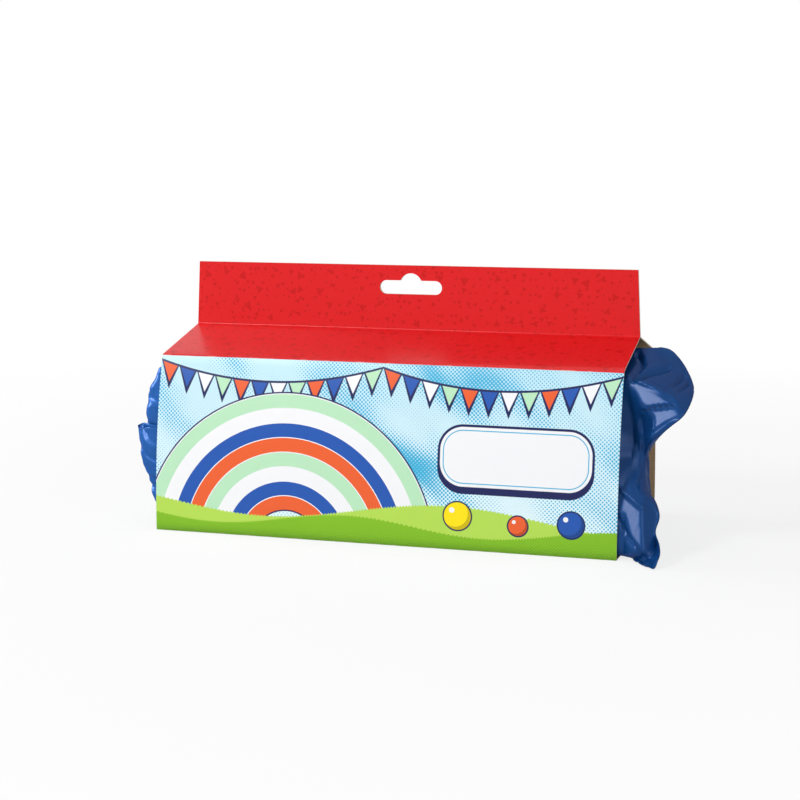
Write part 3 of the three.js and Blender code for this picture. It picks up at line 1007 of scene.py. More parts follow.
# How far the rim stands out of the sleeve, by the distance round the section from the middle of the base:
# the front runs from 0 to the ridge, and the hem is open at the cord's exit
CORD_EXIT_MARK = 100 * MM
EXIT_OVERLAP = 4 * MM
LOWER_LIP = in_mm(
    (0, 0.6), (56, 1.4), (70, 6.0), (84, 10.9), (94, 13.4), (101, 13.8),
)
UPPER_LIP = in_mm(
    (99, 10.0), (108, 10.4), (118, 10.0), (129, 5.6), (140, 1.0), (219, 0.5),
)
BACK_LIP_LEAST = 0.6 * MM
BACK_LIP_REACH = 11 * MM
CASING_WIDTH = 20 * MM


def between(points, want):
    """The height of a line of points at a place, eased from one point to the next."""
    for a, b in zip(points, points[1:]):
        if want <= b.x:
            return a.y + (b.y - a.y) * ease(want, a.x, b.x)
    return points[-1].y


def rim_place(mark, lip):
    """Where the rim stands along the bag, on the lower or the upper lip in front and on the back."""
    if mark < 0:
        rise = min(1.0, on_section(mark).y / CREASE_HEIGHT)
        reach = BACK_LIP_LEAST + BACK_LIP_REACH * math.sin(math.pi * rise) ** 2
    else:
        reach = between(lip, mark)
    return -HALF_LENGTH - reach


def bag_columns(x):
    """Distances round the section at which the columns of both cloths stand, at a place along the bag."""
    seam = SEAM_DRIFT * ease(x, *DRIFT_ALONG)
    front = [seam + (BAG_HALF_LENGTH - seam) * c / AROUND for c in range(AROUND + 1)]
    back = [seam - (BAG_HALF_LENGTH + seam) * c / AROUND for c in range(AROUND + 1)]
    return front, back


def bag_point(x, mark):
    p = on_section(mark)
    slack = TOP_SLACK * ease(x, *SLACK_ALONG) * ease(p.y, *SLACK_UP)
    return Vector((x, p.x, p.y * (1 - slack)))


def recess(mark):
    """How far inside the sleeve the cloth turns in: deep along the back wall, nowhere else."""
    p = on_section(mark)
    return BACK_RECESS * ease(p.x, *RECESS_ACROSS) * ease(p.y, *RECESS_UP)


def off_line(line, x, z):
    """Distance of a place from a line in (x, z), positive on the left of its run."""
    place = Vector((x, z))
    best = None
    for a, b in zip(line, line[1:]):
        run = b - a
        t = max(0.0, min(1.0, (place - a).dot(run) / run.length_squared))
        off = place - a - run * t
        if best is None or off.length < abs(best):
            best = math.copysign(off.length, run.x * off.y - run.y * off.x)
    return best


def face_depth(through, x, z):
    """Depth of a flat face that leans back and catches the light."""
    return through.y + FACE_SLOPE.x * (x - through.x) + FACE_SLOPE.y * (z - through.z)


def form_depth(p):
    """Depth of the front cloth outside the sleeve: crown and face of the ear, hollow, lobe and tail."""
    x, z = p.x, p.z
    floor = max(p.y, HOLLOW_FLOOR)
    face = face_depth(EAR_FACE, x, z)
    ear = floor + (face - floor) * ease(off_line(FACET_EDGE, x, z), -FORM_EDGE, FORM_EDGE)
    past_ridge = max(0.0, off_line(LOBE_RIDGE, x, z))
    lobe = face_depth(LOBE_FACE, x, z) + LOBE_FALL * past_ridge
    lobe = p.y + (lobe - p.y) * ease(x, *LOBE_ALONG)
    low = lobe + (ear - lobe) * ease(off_line(LOBE_TOP, x, z), -FORM_EDGE, 2 * FORM_EDGE)
    return low + (p.y - low) * ease(off_line(CROWN_EDGE, x, z), -FORM_EDGE / 2, 2 * FORM_EDGE)


def on_face(p):
    """1 on the smooth faces of the ear, the lobe and the tail, 0 in the hollow between them."""
    ear = ease(off_line(FACET_EDGE, p.x, p.z), *EAR_FADE)
    lobe = ease(off_line(LOBE_TOP, p.x, p.z), *LOBE_FADE)
    return max(ear, lobe)


def formed(p, to_seam):
    """A point of the front cloth, moved to its form, except at the seam and inside the sleeve."""
    share = ease(p.x, *FORM_ALONG) * ease(to_seam, *FORM_FROM_SEAM) * ease(p.z, *FORM_UP)
    return Vector((p.x, p.y + (form_depth(p) - p.y) * share, p.z))


def pouch_rows():
    """Rows of both cloths, from the hem of the mouth to the end seam."""
    seam = spaced(smooth_line(END_SEAM, SEAM_POINTS), AROUND)
    rows = []
    for r in range(BODY_ROWS):
        share = r / BODY_ROWS
        halves = []
        for side, marks in enumerate(bag_columns(WALL_START + (HALF_LENGTH - WALL_START) * share)):
            half = []
            for m in marks:
                lip = LOWER_LIP if m < CORD_EXIT_MARK else UPPER_LIP
                start = rim_place(m, lip) + CASING_WIDTH - HEM_OVERLAP
                x = start + (HALF_LENGTH - start) * share - recess(m) * share ** 3
                p = bag_point(x, m)
                half.append(p if side else formed(p, 1))
            halves.append(half)
        rows.append(halves)
    for r in range(END_ROWS + 1):
        turn = r / END_ROWS * math.pi / 2
        halves = []
        for side, marks in enumerate(bag_columns(HALF_LENGTH)):
            half = []
            flat = r / END_ROWS
            bulge = 0.0 if side else END_BULGE
            out = flat + (math.sin(turn) - flat) * bulge
            opened = 1 - flat + (math.cos(turn) - 1 + flat) * bulge
            for m, s in zip(marks, seam):
                p = bag_point(HALF_LENGTH - recess(m), m)
                x = p.x + (s.x - p.x) * out
                y = s.y + (p.y - s.y) * opened
                z = p.z + (s.z - p.z) * (out if side else out ** 2)
                p = Vector((x, y, z))
                half.append(p if side else formed(p, 1 - r / END_ROWS))
            halves.append(half)
        rows.append(halves)
    return rows


def make_pouch():
    """The bag as one closed pouch: points, faces, and each cloth's rows of point numbers."""
    rows = pouch_rows()
    points = []
    numbers = ([], [])
    for r, (front, back) in enumerate(rows):
        line = list(range(len(points), len(points) + AROUND + 1))
        points += front
        numbers[0].append(line)
        if r == len(rows) - 1:
            numbers[1].append(line)
            continue
        inner = list(range(len(points), len(points) + AROUND - 1))
        points += back[1:-1]
        numbers[1].append([line[0], *inner, line[-1]])
    faces = []
    for side, grid in enumerate(numbers):
        for a, b in zip(grid, grid[1:]):
            for c in range(AROUND):
                quad = (a[c], a[c + 1], b[c + 1], b[c])
                faces.append(quad if side == 0 else quad[::-1])
    return points, faces, numbers


# Folds of the end as they are seen from the front: half width, height, places that they pass
END_FOLDS = {
    "valley over the face": (1.6 * MM, -1.0 * MM, in_mm(
        (116, -50, 84), (118.9, -50, 83), (127.1, -50, 80), (137.1, -50, 75.3), (141, -50, 72.5))),
    "crest of the crown": (2.8 * MM, 4.0 * MM, in_mm(
        (116, -36, 80.3), (117.9, -36, 81.3), (121.6, -36, 82.8), (124.6, -32, 83.6), (133.5, -28, 86))),
    "bow near the card": (2.6 * MM, 2.4 * MM, in_mm(
        (114, -25, 94.6), (115.4, -25, 93.2), (118.7, -25, 90), (120, -25, 86.8), (116, -25, 80))),
    "upper wrinkle of the tip": (3.0 * MM, 1.6 * MM, in_mm(
        (133.9, -32, 76.7), (138, -32, 80.4), (141, -32, 83.4))),
    "lower wrinkle of the tip": (2.8 * MM, 1.5 * MM, in_mm(
        (136.5, -34, 75), (141, -34, 78.5), (144, -34, 81))),
    "hollow of the lower rim": (2.8 * MM, -1.3 * MM, in_mm(
        (128.5, -51, 57), (130.4, -51, 58.5), (135.2, -51, 62.4), (141, -51, 65.8))),
    "fold down the neck": (2.0 * MM, 1.4 * MM, in_mm(
        (122, -42, 66), (122.5, -42, 60.8), (123.6, -42, 51.6), (124.3, -42, 41), (121, -42, 32))),
    "upper fold of the lobe": (2.4 * MM, -1.2 * MM, in_mm(
        (111, -53, 34.6), (114.8, -53, 32.3), (119.4, -53, 29.3), (127, -53, 23))),
    "fold of the tail": (2.2 * MM, 1.5 * MM, in_mm(
        (112, -58, 26), (115.5, -58, 19.4), (119.2, -58, 12.3), (124.4, -58, 6.1), (132, -58, -1.5))),
}
FOLD_SIGHT = Vector((0.147, -0.978, 0.147))
SEAM_MARGIN = 2.5 * MM
COARSE_SEAM_POINTS = 4


def lay_folds(piece):
    """Raises or sinks the front cloth along the folds, but for its seam."""
    seam = smooth_line(END_SEAM, COARSE_SEAM_POINTS)
    normals = [v.normal.copy() for v in piece.data.vertices]
    for v, normal in zip(piece.data.vertices, normals):
        if v.co.x < HALF_LENGTH:
            continue
        rise = sum(fold_rise(v.co, *fold) for fold in END_FOLDS.values())
        if rise:
            to_seam = min((v.co - p).length for p in seam)
            v.co += normal * rise * ease(to_seam, 0, SEAM_MARGIN)
            v.co.z = max(v.co.z, FLOOR_GAP)


def seen_flat(vector):
    """A direction as it is seen from the front, with what lies along the sight left out."""
    return vector - FOLD_SIGHT * vector.dot(FOLD_SIGHT)


def fold_rise(p, half_width, height, route):
    """How far a fold raises a point, as it is seen from the front: least at the fold's ends."""
    best = None
    for i, (a, b) in enumerate(zip(route, route[1:])):
        place, run = seen_flat(p - a), seen_flat(b - a)
        t = max(0.0, min(1.0, place.dot(run) / run.length_squared))
        off = (place - run * t).length / half_width
        if best is None or off < best[0]:
            best = (off, (i + t) / (len(route) - 1))
    off, along = best
    return height * max(0.0, 1 - off) ** 2 * math.sqrt(4 * along * (1 - along))


# The satin as it settles: the model is made larger for it, and its cloth grows a little
SIM_SCALE = 10.0
SIM_FRAMES = 36
BODY_GROWTH = 0.006
END_GROWTH = 0.012
SETTLING_GRAVITY = 0.2
SELF_GAP = 0.008
SATIN_CLOTH = {
    "quality": 6,
    "mass": 0.15,
    "tension_stiffness": 15,
    "compression_stiffness": 15,
    "shear_stiffness": 8,
    "bending_stiffness": 0.25,
    "tension_damping": 8,
    "compression_damping": 8,
    "shear_damping": 8,
    "bending_damping": 0.8,
    "air_damping": 3,
    "vertex_group_mass": "held",
    "pin_stiffness": 6,
    "vertex_group_shrink": "loose",
    "shrink_min": -BODY_GROWTH,
    "shrink_max": -END_GROWTH,
}


def weigh(piece, name, shares):
    """A group of a mesh's points, each with its own share."""
    group = piece.vertex_groups.new(name=name)
    for number, share in shares.items():
        group.add([number], share, "REPLACE")


def crumple(points, faces, held, loose):
    """Lets cloth that is a little too large for its place find its own folds."""
    pouch = new_object("loose_pouch", [p * SIM_SCALE for p in points], faces)
    weigh(pouch, "held", held)
    weigh(pouch, "loose", loose)
    cloth = pouch.modifiers.new("cloth", "CLOTH")
    for name, value in SATIN_CLOTH.items():
        setattr(cloth.settings, name, value)
    cloth.settings.effector_weights.gravity = SETTLING_GRAVITY
    cloth.collision_settings.use_self_collision = True
    cloth.collision_settings.self_distance_min = SELF_GAP
    cloth.collision_settings.use_collision = False
    cloth.point_cache.frame_start = 1
    cloth.point_cache.frame_end = SIM_FRAMES
    for number in range(1, SIM_FRAMES + 1):
        bpy.context.scene.frame_set(number)
    depsgraph = bpy.context.evaluated_depsgraph_get()
    moved = pouch.evaluated_get(depsgraph).data.vertices
    result = [v.co.copy() / SIM_SCALE for v in moved]
    bpy.context.scene.frame_set(1)
    bpy.data.objects.remove(pouch)
    return result


BAG_LOOP = BAG_HALF + [Vector((-p.x, p.y)) for p in reversed(BAG_HALF[1:-1])]


def nearest_on_section(p):
    """The nearest point of the bag's section, and the direction into the bag there."""
    best = None
    for a, b in zip(BAG_LOOP, BAG_LOOP[1:] + BAG_LOOP[:1]):
        run = b - a
        t = max(0.0, min(1.0, (p - a).dot(run) / run.length_squared))
        q = a + run * t
        gap = (p - q).length_squared
        if best is None or gap < best[0]:
            best = (gap, q, Vector((run.y, -run.x)).normalized())
    return best[1], best[2]


def keep_in_sleeve(points):
    """Holds the cloth against the inside of the card, and clear of the packet, up to the sleeve's end."""
    kept = []
    for p in points:
        free = p.x - HALF_LENGTH - EDGE_MARGIN
        place, inwards = nearest_on_section(Vector((p.y, p.z)))
        depth = (Vector((p.y, p.z)) - place).dot(inwards)
        lowest = -max(0.0, free)
        highest = DEEPEST_SAG + max(0.0, p.x - HALF_LENGTH + SAG_FREE_FROM) * SAG_GROWTH
        held = place + inwards * max(lowest, min(highest, depth))
        kept.append(Vector((p.x, held.x, max(held.y, FLOOR_GAP))))
    return kept


def ironed(points, cut, grid):
    """Smooths the front cloth outside the sleeve, its hollow most and its seam not at all."""
    for _ in range(IRON_PASSES):
        moved = {}
        for a, b, c in zip(grid[BODY_ROWS - 2:], grid[BODY_ROWS - 1:], grid[BODY_ROWS:]):
            for k in range(1, AROUND):
                i = b[k]
                around = points[a[k]] + points[c[k]] + points[b[k - 1]] + points[b[k + 1]]
                share = IRON_HOLLOW + (IRON_FACE - IRON_HOLLOW) * on_face(cut[i])
                moved[i] = points[i].lerp(around / 4, share)
        for i, p in moved.items():
            points[i] = p


def clear_packet(points, numbers):
    """Keeps both cloths past the end of the folded parachute."""
    for grid in numbers:
        for row in grid[BODY_ROWS:]:
            for i in row:
                p = points[i]
                if abs(p.y) < PACKET_SIDE and p.z < PACKET_TOP:
                    p.x = max(p.x, PACKET_END)


def settled_pouch():
    """The points of the pouch after it has settled, and each cloth's rows of point numbers."""
    points, faces, numbers = make_pouch()
    cut = [p.copy() for p in points]
    held = {}
    for row in numbers[0][BODY_ROWS - 2:]:
        for i in row:
            held[i] = HOLLOW_HOLD + (FACE_HOLD - HOLLOW_HOLD) * on_face(points[i])
    held.update((i, BACK_HOLD) for row in numbers[1][BODY_ROWS:-1] for i in row[1:-1])
    for row in (numbers[0][0], numbers[1][0], numbers[0][-1], numbers[0][BODY_ROWS][:HELD_FOOT]):
        held.update((i, 1.0) for i in row)
    for r in range(0, BODY_ROWS, HELD_ROWS_APART):
        for side in numbers:
            held.update((i, 1.0) for i in side[r][::HELD_COLUMNS_APART])
    end_rows = [row for side in numbers for row in side[BODY_ROWS - 1:]]
    loose = {i: 1 - on_face(points[i]) for row in end_rows for i in row}
    points = crumple(points, faces, held, loose)
    for row in numbers[0][BODY_ROWS:]:
        for i in row:
            points[i] = points[i].lerp(cut[i], FACE_HOLD * on_face(cut[i]))
    ironed(points, cut, numbers[0])
    clear_packet(points, numbers)
    return keep_in_sleeve(points), numbers


# The satin's thickness, the size that each cloth is cut to, and the depth of its stitched seams
CLOTH = 0.3 * MM
BAG_FLAT_WIDTH = 0.19
BAG_FLAT_LENGTH = 0.255
SEAM_GROOVE = 0.7 * MM


def pull_in_seams(points, numbers):
    """Sinks the stitched seams along the bottom and the top a little into the bag."""
    for row in numbers[0][:BODY_ROWS]:
        points[row[0]].z += SEAM_GROOVE
        points[row[-1]].z -= SEAM_GROOVE


# A line of stitches that draws the ear's face together, as (x, z), and the stitches of the hem
SEWN_LINE = in_mm(
    (123.6, 67.6), (127, 69.2), (131.5, 70.2), (137.3, 71.3),
)
SEWN_POINTS = 8
PUCKER_WIDTH = 1.3 * MM
PUCKER_DEPTH = 0.8 * MM
PUCKER_PITCH = 2.6 * MM
PUCKER_WAVE = 0.6
PUCKER_SLANT = 1.5
SEWN_HEM = 18 * MM
BAG_STITCH_PITCH = 3.0 * MM
BAG_STITCH = 2.1 * MM
BAG_THREAD = 0.45 * MM


def pucker(piece):
    """Sinks the cloth along the sewn line, in short waves."""
    line = smooth_line(SEWN_LINE, SEWN_POINTS)
    start, run = line[0], line[-1] - line[0]
    for v in piece.data.vertices:
        if v.co.x < HALF_LENGTH or v.co.y > HOLLOW_FLOOR:
            continue
        off = off_line(line, v.co.x, v.co.z) / PUCKER_WIDTH
        if abs(off) < 2:
            along = (Vector((v.co.x, v.co.z)) - start).dot(run.normalized())
            wave = 1 + PUCKER_WAVE * math.sin(2 * math.pi * along / PUCKER_PITCH + PUCKER_SLANT * off)
            v.co.y += PUCKER_DEPTH * wave * math.exp(-2 * off * off)


def line_on_front(piece, line):
    """A line in (x, z), laid on a piece from the front."""
    places = [v.co for v in piece.data.vertices]
    tree = BVHTree.FromPolygons(places, [face.vertices for face in piece.data.polygons])
    laid = []
    for p in line:
        place = tree.ray_cast(Vector((p.x, -1, p.y)), Vector((0, 1, 0)))[0]
        if place is not None:
            laid.append(place)
    return laid


def round_mouth(mark):
    """A distance round the mouth, brought back to where on_section takes it."""
    return mark + 2 * BAG_HALF_LENGTH if mark < -BAG_HALF_LENGTH else mark


def hem_line():
    """The line of stitches that closes the hem, on its outer side."""
    line = []
    for i in range(HEM_STEPS + 1):
        mark = round_mouth(CORD_EXIT_MARK - 2 * BAG_HALF_LENGTH * i / HEM_STEPS)
        place, inwards = section_frame(mark)
        at = place + inwards * (hem_inset(mark, SEWN_HEM) - BAG_THREAD)
        lip = LOWER_LIP if 2 * i < HEM_STEPS else UPPER_LIP
        line.append(Vector((rim_place(mark, lip) + SEWN_HEM, at.x, at.y)))
    return line


def cloth_piece(name, grid, points, side):
    """One of the bag's two cloths, with its own measure of the flat cloth as UV."""
    used = [points[i] for row in grid for i in row]
    columns = AROUND + 1
    faces = grid_faces(len(grid), columns)
    if side:
        faces = [f[::-1] for f in faces]
    piece = new_object(name, used, faces)
    lengths = [r / (len(grid) - 1) * BAG_FLAT_LENGTH for r in range(len(grid))]
    widths = [c / AROUND * BAG_FLAT_WIDTH for c in range(columns)]
    map_flat(piece, "Cloth", [(u, v) for u in lengths for v in widths])
    shade_smooth(piece)
    subdivide(piece)
    apply_modifiers(piece)
    if side == 0:
        lay_folds(piece)
    thicken(piece, CLOTH, -1)
    apply_modifiers(piece)
    return piece


# Section of the hem from its stitched edge to the rim: distance from the rim, half of its thickness
HEM_HALF_SECTION = in_mm(
    (20, 0.2), (14, 0.3), (9, 0.4), (6, 0.5), (4, 0.75), (2.5, 0.9), (1.1, 0.75), (0.3, 0.45),
)
HEM_STEPS = 220
HEM_SET_IN = 1.6 * MM
MOUTH_DRAW = 5 * MM
RIM_WAVE = 0.3 * MM
RIM_RIPPLE = (410, 0.4)

# The two ends of the hem at the cord's exit: the upper end is tucked in, the lower end is cut at a slant
UPPER_TUCK = 2.0 * MM
TUCK_ALONG = (0.95, 1)
EXIT_SLANT = 1.6
SLANT_ALONG = (0.02, 0)

# Crumples of the hem, less deep at its stitches than at its rim, and flat near the base
CRUMPLE_DEPTH = 3.4 * MM
CRUMPLE_AT_STITCHES = 0.3
CRUMPLE_GAIN = 0.7
CRUMPLE_UP = (2 * MM, 12 * MM)
CRUMPLE_SLANT = 0.6

# Coarse and fine crumples: how many in a metre along and across, the seed, and how narrow they are
COARSE_CRUMPLES = (130, 45, 0.7)
FINE_CRUMPLES = (310, 100, 5.2)
COARSE_NARROWING = 2.2
FINE_NARROWING = 0.9


def hem_section():
    outer = HEM_HALF_SECTION
    inner = [Vector((p.x, -p.y)) for p in reversed(outer)]
    return outer + [Vector((0, 0))] + inner


def section_frame(mark):
    """A point of the bag's section and the direction into the bag there."""
    step = 0.5 * MM
    run = on_section(mark + step) - on_section(mark - step)
    return on_section(mark), Vector((run.y, -run.x)).normalized()


def unevenness(along, across, kind):
    rate_along, rate_across, seed = kind
    return abs(noise.noise(Vector((along * rate_along, across * rate_across, seed))))


def crumples(mark, depth):
    """Slanting folds of a hem that has been drawn together and let go: 1 in the creases, 0 on the puffs."""
    along = mark + CRUMPLE_SLANT * depth
    across = depth - CRUMPLE_SLANT * mark
    coarse = COARSE_NARROWING * unevenness(along, across, COARSE_CRUMPLES)
    fine = FINE_NARROWING * unevenness(along, across, FINE_CRUMPLES)
    return max(0.0, 1 - coarse - fine)


def hem_inset(mark, depth):
    """How far the hem is pressed in, at a place round the mouth and a depth from its rim."""
    out = 1 - depth / CASING_WIDTH
    free = ease(on_section(mark).y, *CRUMPLE_UP)
    folds = CRUMPLE_DEPTH * crumples(mark, depth) * (CRUMPLE_AT_STITCHES + CRUMPLE_GAIN * out)
    return HEM_SET_IN + MOUTH_DRAW * out * out + folds * free


def make_casing(material):
    """The hem round the mouth, a flat tube that is open where the cord would come out."""
    section = hem_section()
    first = CORD_EXIT_MARK + EXIT_OVERLAP / 2
    length = 2 * BAG_HALF_LENGTH + EXIT_OVERLAP
    verts = []
    sewn = []
    for i in range(HEM_STEPS + 1):
        share = i / HEM_STEPS
        lip = LOWER_LIP if share < 0.5 else UPPER_LIP
        slant = EXIT_SLANT * ease(share, *SLANT_ALONG)
        tuck = UPPER_TUCK * ease(share, *TUCK_ALONG)
        for p in section:
            mark = round_mouth(first - length * share - p.y * slant)
            place, inwards = section_frame(mark)
            at = place + inwards * (hem_inset(mark, p.x) - p.y + tuck)
            x = rim_place(mark, lip) + p.x + RIM_WAVE * swing(mark, RIM_RIPPLE)
            verts.append((x, at.x, at.y))
            sewn.append((length * share, p.x + (0 if p.y >= 0 else 2 * CASING_WIDTH)))
    columns = len(section)
    faces = [f[::-1] for f in grid_faces(HEM_STEPS + 1, columns)]
    piece = new_object("bag_hem", verts, faces)
    map_flat(piece, "Cloth", sewn)
    shade_smooth(piece)
    subdivide(piece)
    thicken(piece, CLOTH, -1)
    apply_modifiers(piece)
    piece.data.materials.append(material)
    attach(piece, "bag")
    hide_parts("bag_mouth_casing")
    return piece


def make_bag():
    points, numbers = settled_pouch()
    pull_in_seams(points, numbers)
    body_satin = satin("blue_satin", "#0C3468", "#154A88")
    # The hem's satin is a lighter copy of the bag's satin: painted light that stands in for the strong light
    # on the bag's left end
    hem_satin_painted_lighter = satin("blue_satin_hem_painted_lighter", "#17468A", "#2A68B4")
    for side, name in enumerate(("bag_front", "bag_back")):
        piece = cloth_piece(name, numbers[side], points, side)
        if side == 0:
            pucker(piece)
            sewn = line_on_front(piece, smooth_line(SEWN_LINE, SEWN_POINTS))
        piece.data.materials.append(body_satin)
        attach(piece, "bag")
        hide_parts(name + "_cloth")
    make_casing(hem_satin_painted_lighter)
    thread = thread_material("navy_thread", srgb("#0B1A38"))
    lines = [hem_line(), sewn]
    make_stitches("bag_stitches", lines, "bag", thread, BAG_STITCH_PITCH, BAG_STITCH, BAG_THREAD)


YARN_STRETCH = (30.0, 1100.0, 1.0)
WEAVE_PITCH = 0.45 * MM
STREAK_HEIGHT = 0.8
SATIN_GLINT = (0.1, 0.2, 0.45, 1.0)


def satin(name, dark, light):
    """Blue satin: long streaks of sheen along the yarns and a fine weave."""
    g = Graph(name)
    cloth, along, across = g.flat_place("Cloth")
    yarns = g.add("Mapping", {"Vector": cloth, "Scale": YARN_STRETCH}).outputs[0]
    streak = g.speckle(yarns, scale=1.0, detail=2.0)
    cloud = g.speckle(cloth, scale=22.0, detail=2.0)
    shade = g.math("MULTIPLY_ADD", streak, 0.5, g.math("MULTIPLY", cloud, 0.5))
    weave = g.math("MULTIPLY", g.ribs(along, WEAVE_PITCH), g.ribs(across, WEAVE_PITCH))
    height = g.math("MULTIPLY_ADD", streak, STREAK_HEIGHT, weave)
    g.principled(
        Base_Color=g.mix(shade, srgb(dark), srgb(light)), Roughness=g.spread(streak, low=0.24, high=0.38),
        Metallic=0.15, Specular_IOR_Level=0.0, Specular_Tint=SATIN_GLINT,
        Coat_Weight=0.1, Coat_Roughness=0.25, Coat_IOR=2.0,
        Normal=g.bump(height, strength=0.12, distance=0.05 * MM),
    )
    return g.material


# Folded parachute: eight gores laid on each other and folded to and fro along the packet

GORE_INKS = {
    "orange": ("#E0612C", "#F07A45"),
    "blue": ("#284F9E", "#3865B8"),
    "white": ("#E2E3E8", "#F1F1F4"),
    "green": ("#B4DDBA", "#C9EBCD"),
}
GORES = [
    "gore_1_orange", "gore_2_blue", "gore_3_white", "gore_4_green",
    "gore_5_orange", "gore_6_blue", "gore_7_white", "gore_8_green",
]
PLY = 1.15 * MM
FOLD_PITCH = len(GORES) * PLY
FOLD_RUNS = 7
RUN_STEPS = 12
TURN_STEPS = 8

# A gore is a triangle of nylon, pleated lengthwise to the packet's depth
GORE_PLIES = 7
PLEAT_PITCH = 0.115 * MM
NYLON = 0.04 * MM

# How unevenly the pleats' edges lie, in a slow and a fast wave: radians for each pleat, and along the strip
EDGE_SLIP = 2.6 * MM
SLOW_SLIP = (2.1, 9)
FAST_SLIP = (5.3, 23)
SLIP_RATE = 10
GORE_SEED = 1.7

PACKET_HALF_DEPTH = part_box(GORES[0])[1].y
TAPE_HALF = 0.4 * MM
TOP_RUN = RIM_HIGH.z - TAPE_HALF - (len(GORES) - 1) / 2 * PLY


def ply_offset(gore):
    """How far a gore lies above the middle of the stack, on the runs that go to the right."""
    return ((len(GORES) - 1) / 2 - gore) * PLY


def folded_line(off):
    """The line of a gore in (x, z), folded to and fro from the top run down."""
    turn_at = PACKET_END - FOLD_PITCH
    points = []
    start = RIM_HIGH.x
    for run in range(FOLD_RUNS):
        way = 1 if run % 2 == 0 else -1
        height = TOP_RUN - run * FOLD_PITCH + way * off
        end = way * turn_at
        points += straight(Vector((start, height)), Vector((end, height)), RUN_STEPS)[:-1]
        start = end
        if run + 1 == FOLD_RUNS:
            points.append(Vector((end, height)))
            break
        middle = Vector((end, TOP_RUN - (run + 0.5) * FOLD_PITCH))
        radius = FOLD_PITCH / 2 + way * off
        for step in range(TURN_STEPS):
            turn = math.pi * (0.5 - step / TURN_STEPS)
            points.append(middle + Vector((way * math.cos(turn), math.sin(turn))) * radius)
    return points


def line_normals(points):
    """Directions square to a line in its plane, to the left of its run."""
    normals = []
    for i in range(len(points)):
        run = points[min(i + 1, len(points) - 1)] - points[max(i - 1, 0)]
        normals.append(Vector((-run.y, run.x)).normalized())
    return normals


def slip(ply, along, seed):
    """How far the edge of one pleat lies inside the packet's side."""
    turn, rate = SLOW_SLIP
    slow = math.sin(ply * turn + along * (rate + ply) + seed)
    turn, rate = FAST_SLIP
    fast = math.sin(ply * turn + along * rate + 2 * seed)
    return EDGE_SLIP * (0.5 + (slow + fast) / 4)


def pleat_points(along, seed):
    """Points across a pleated gore: place across the packet, height over its middle, place when flat."""
    points = []
    for ply in range(GORE_PLIES):
        way = 1 if ply % 2 == 0 else -1
        height = (ply - (GORE_PLIES - 1) / 2) * PLEAT_PITCH
        near = -PACKET_HALF_DEPTH + slip(ply - 1 if way > 0 else ply, along, seed)
        far = PACKET_HALF_DEPTH - slip(ply if way > 0 else ply - 1, along, seed + 1)
        line = [near, (near + far) / 2, far][::way]
        flat = ply * 2 * PACKET_HALF_DEPTH
        for share, y in enumerate(line):
            points.append((y, height, flat + share * PACKET_HALF_DEPTH))
        if ply + 1 < GORE_PLIES:
            edge = line[-1] + way * PLEAT_PITCH
            points.append((edge, height + PLEAT_PITCH / 2, flat + 2 * PACKET_HALF_DEPTH))
    return points


def cloth_from_grid(name, rows, flats, thickness):
    """A sheet from rows of points, with the flat cloth's measure as UV and a little thickness."""
    verts = [p for row in rows for p in row]
    piece = new_object(name, verts, grid_faces(len(rows), len(rows[0])))
    map_flat(piece, "Cloth", [p for row in flats for p in row])
    shade_smooth(piece)
    thicken(piece, thickness, 0)
    apply_modifiers(piece)
    return piece


def make_gore(number, name, material):
    line = folded_line(ply_offset(number))
    marks = line_lengths(line)
    rows = []
    flats = []
    for p, n, mark in zip(line, line_normals(line), marks):
        pleats = pleat_points(mark * SLIP_RATE, number * GORE_SEED)
        rows.append([(p.x + n.x * h, y, p.y + n.y * h) for y, h, _ in pleats])
        flats.append([(mark, flat) for _, _, flat in pleats])
    piece = cloth_from_grid("folded_" + name, rows, flats, NYLON)
    piece.data.materials.append(material)
    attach(piece, "parachute")
    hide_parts(name)


TAPE_WIDTH = 12 * MM
TAPE = 0.03 * MM
TAPE_PLIES = 13
TAPE_PITCH = 0.06 * MM
TAPE_SLIP = 1.2 * MM
TAPE_TURN = 2.4
TAPE_STEPS = (-1, -0.35, 0.35, 1)


def make_rim_tape():
    """The tape round the canopy's rim, which follows the pleats of all the gores."""
    rows = []
    flats = []
    mark = 0.0
    edges = (RIM_LOW.x, (RIM_LOW.x + RIM_HIGH.x) / 2, RIM_HIGH.x)
    for ply in range(len(GORES) * TAPE_PLIES):
        gore, inner = divmod(ply, TAPE_PLIES)
        way = 1 if ply % 2 == 0 else -1
        height = TOP_RUN + ply_offset(gore) + ((TAPE_PLIES - 1) / 2 - inner) * TAPE_PITCH
        reach = PACKET_HALF_DEPTH - TAPE_SLIP * (0.5 + 0.5 * math.sin(ply * TAPE_TURN))
        for share in TAPE_STEPS:
            y = way * share * reach
            rows.append([(x, y, height) for x in edges])
            flats.append([(mark + (share + 1) * reach, w) for w in (0, TAPE_WIDTH / 2, TAPE_WIDTH)])
        mark += 2 * reach
    piece = cloth_from_grid("bound_rim_tape", rows, flats, TAPE)
    piece.data.materials.append(ribbed_cloth("green_tape", "#2E9A58", "#43B56E", pitch=1.1 * MM, rough=0.5))
    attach(piece, "parachute")
    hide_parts("rim_tape")


HUB_RINGS = 12
HUB_SEGMENTS = 64
HUB_HOLE = 0.05 * MM
HUB_GAP = 0.25 * MM
HUB_BEND = 2.0 * MM


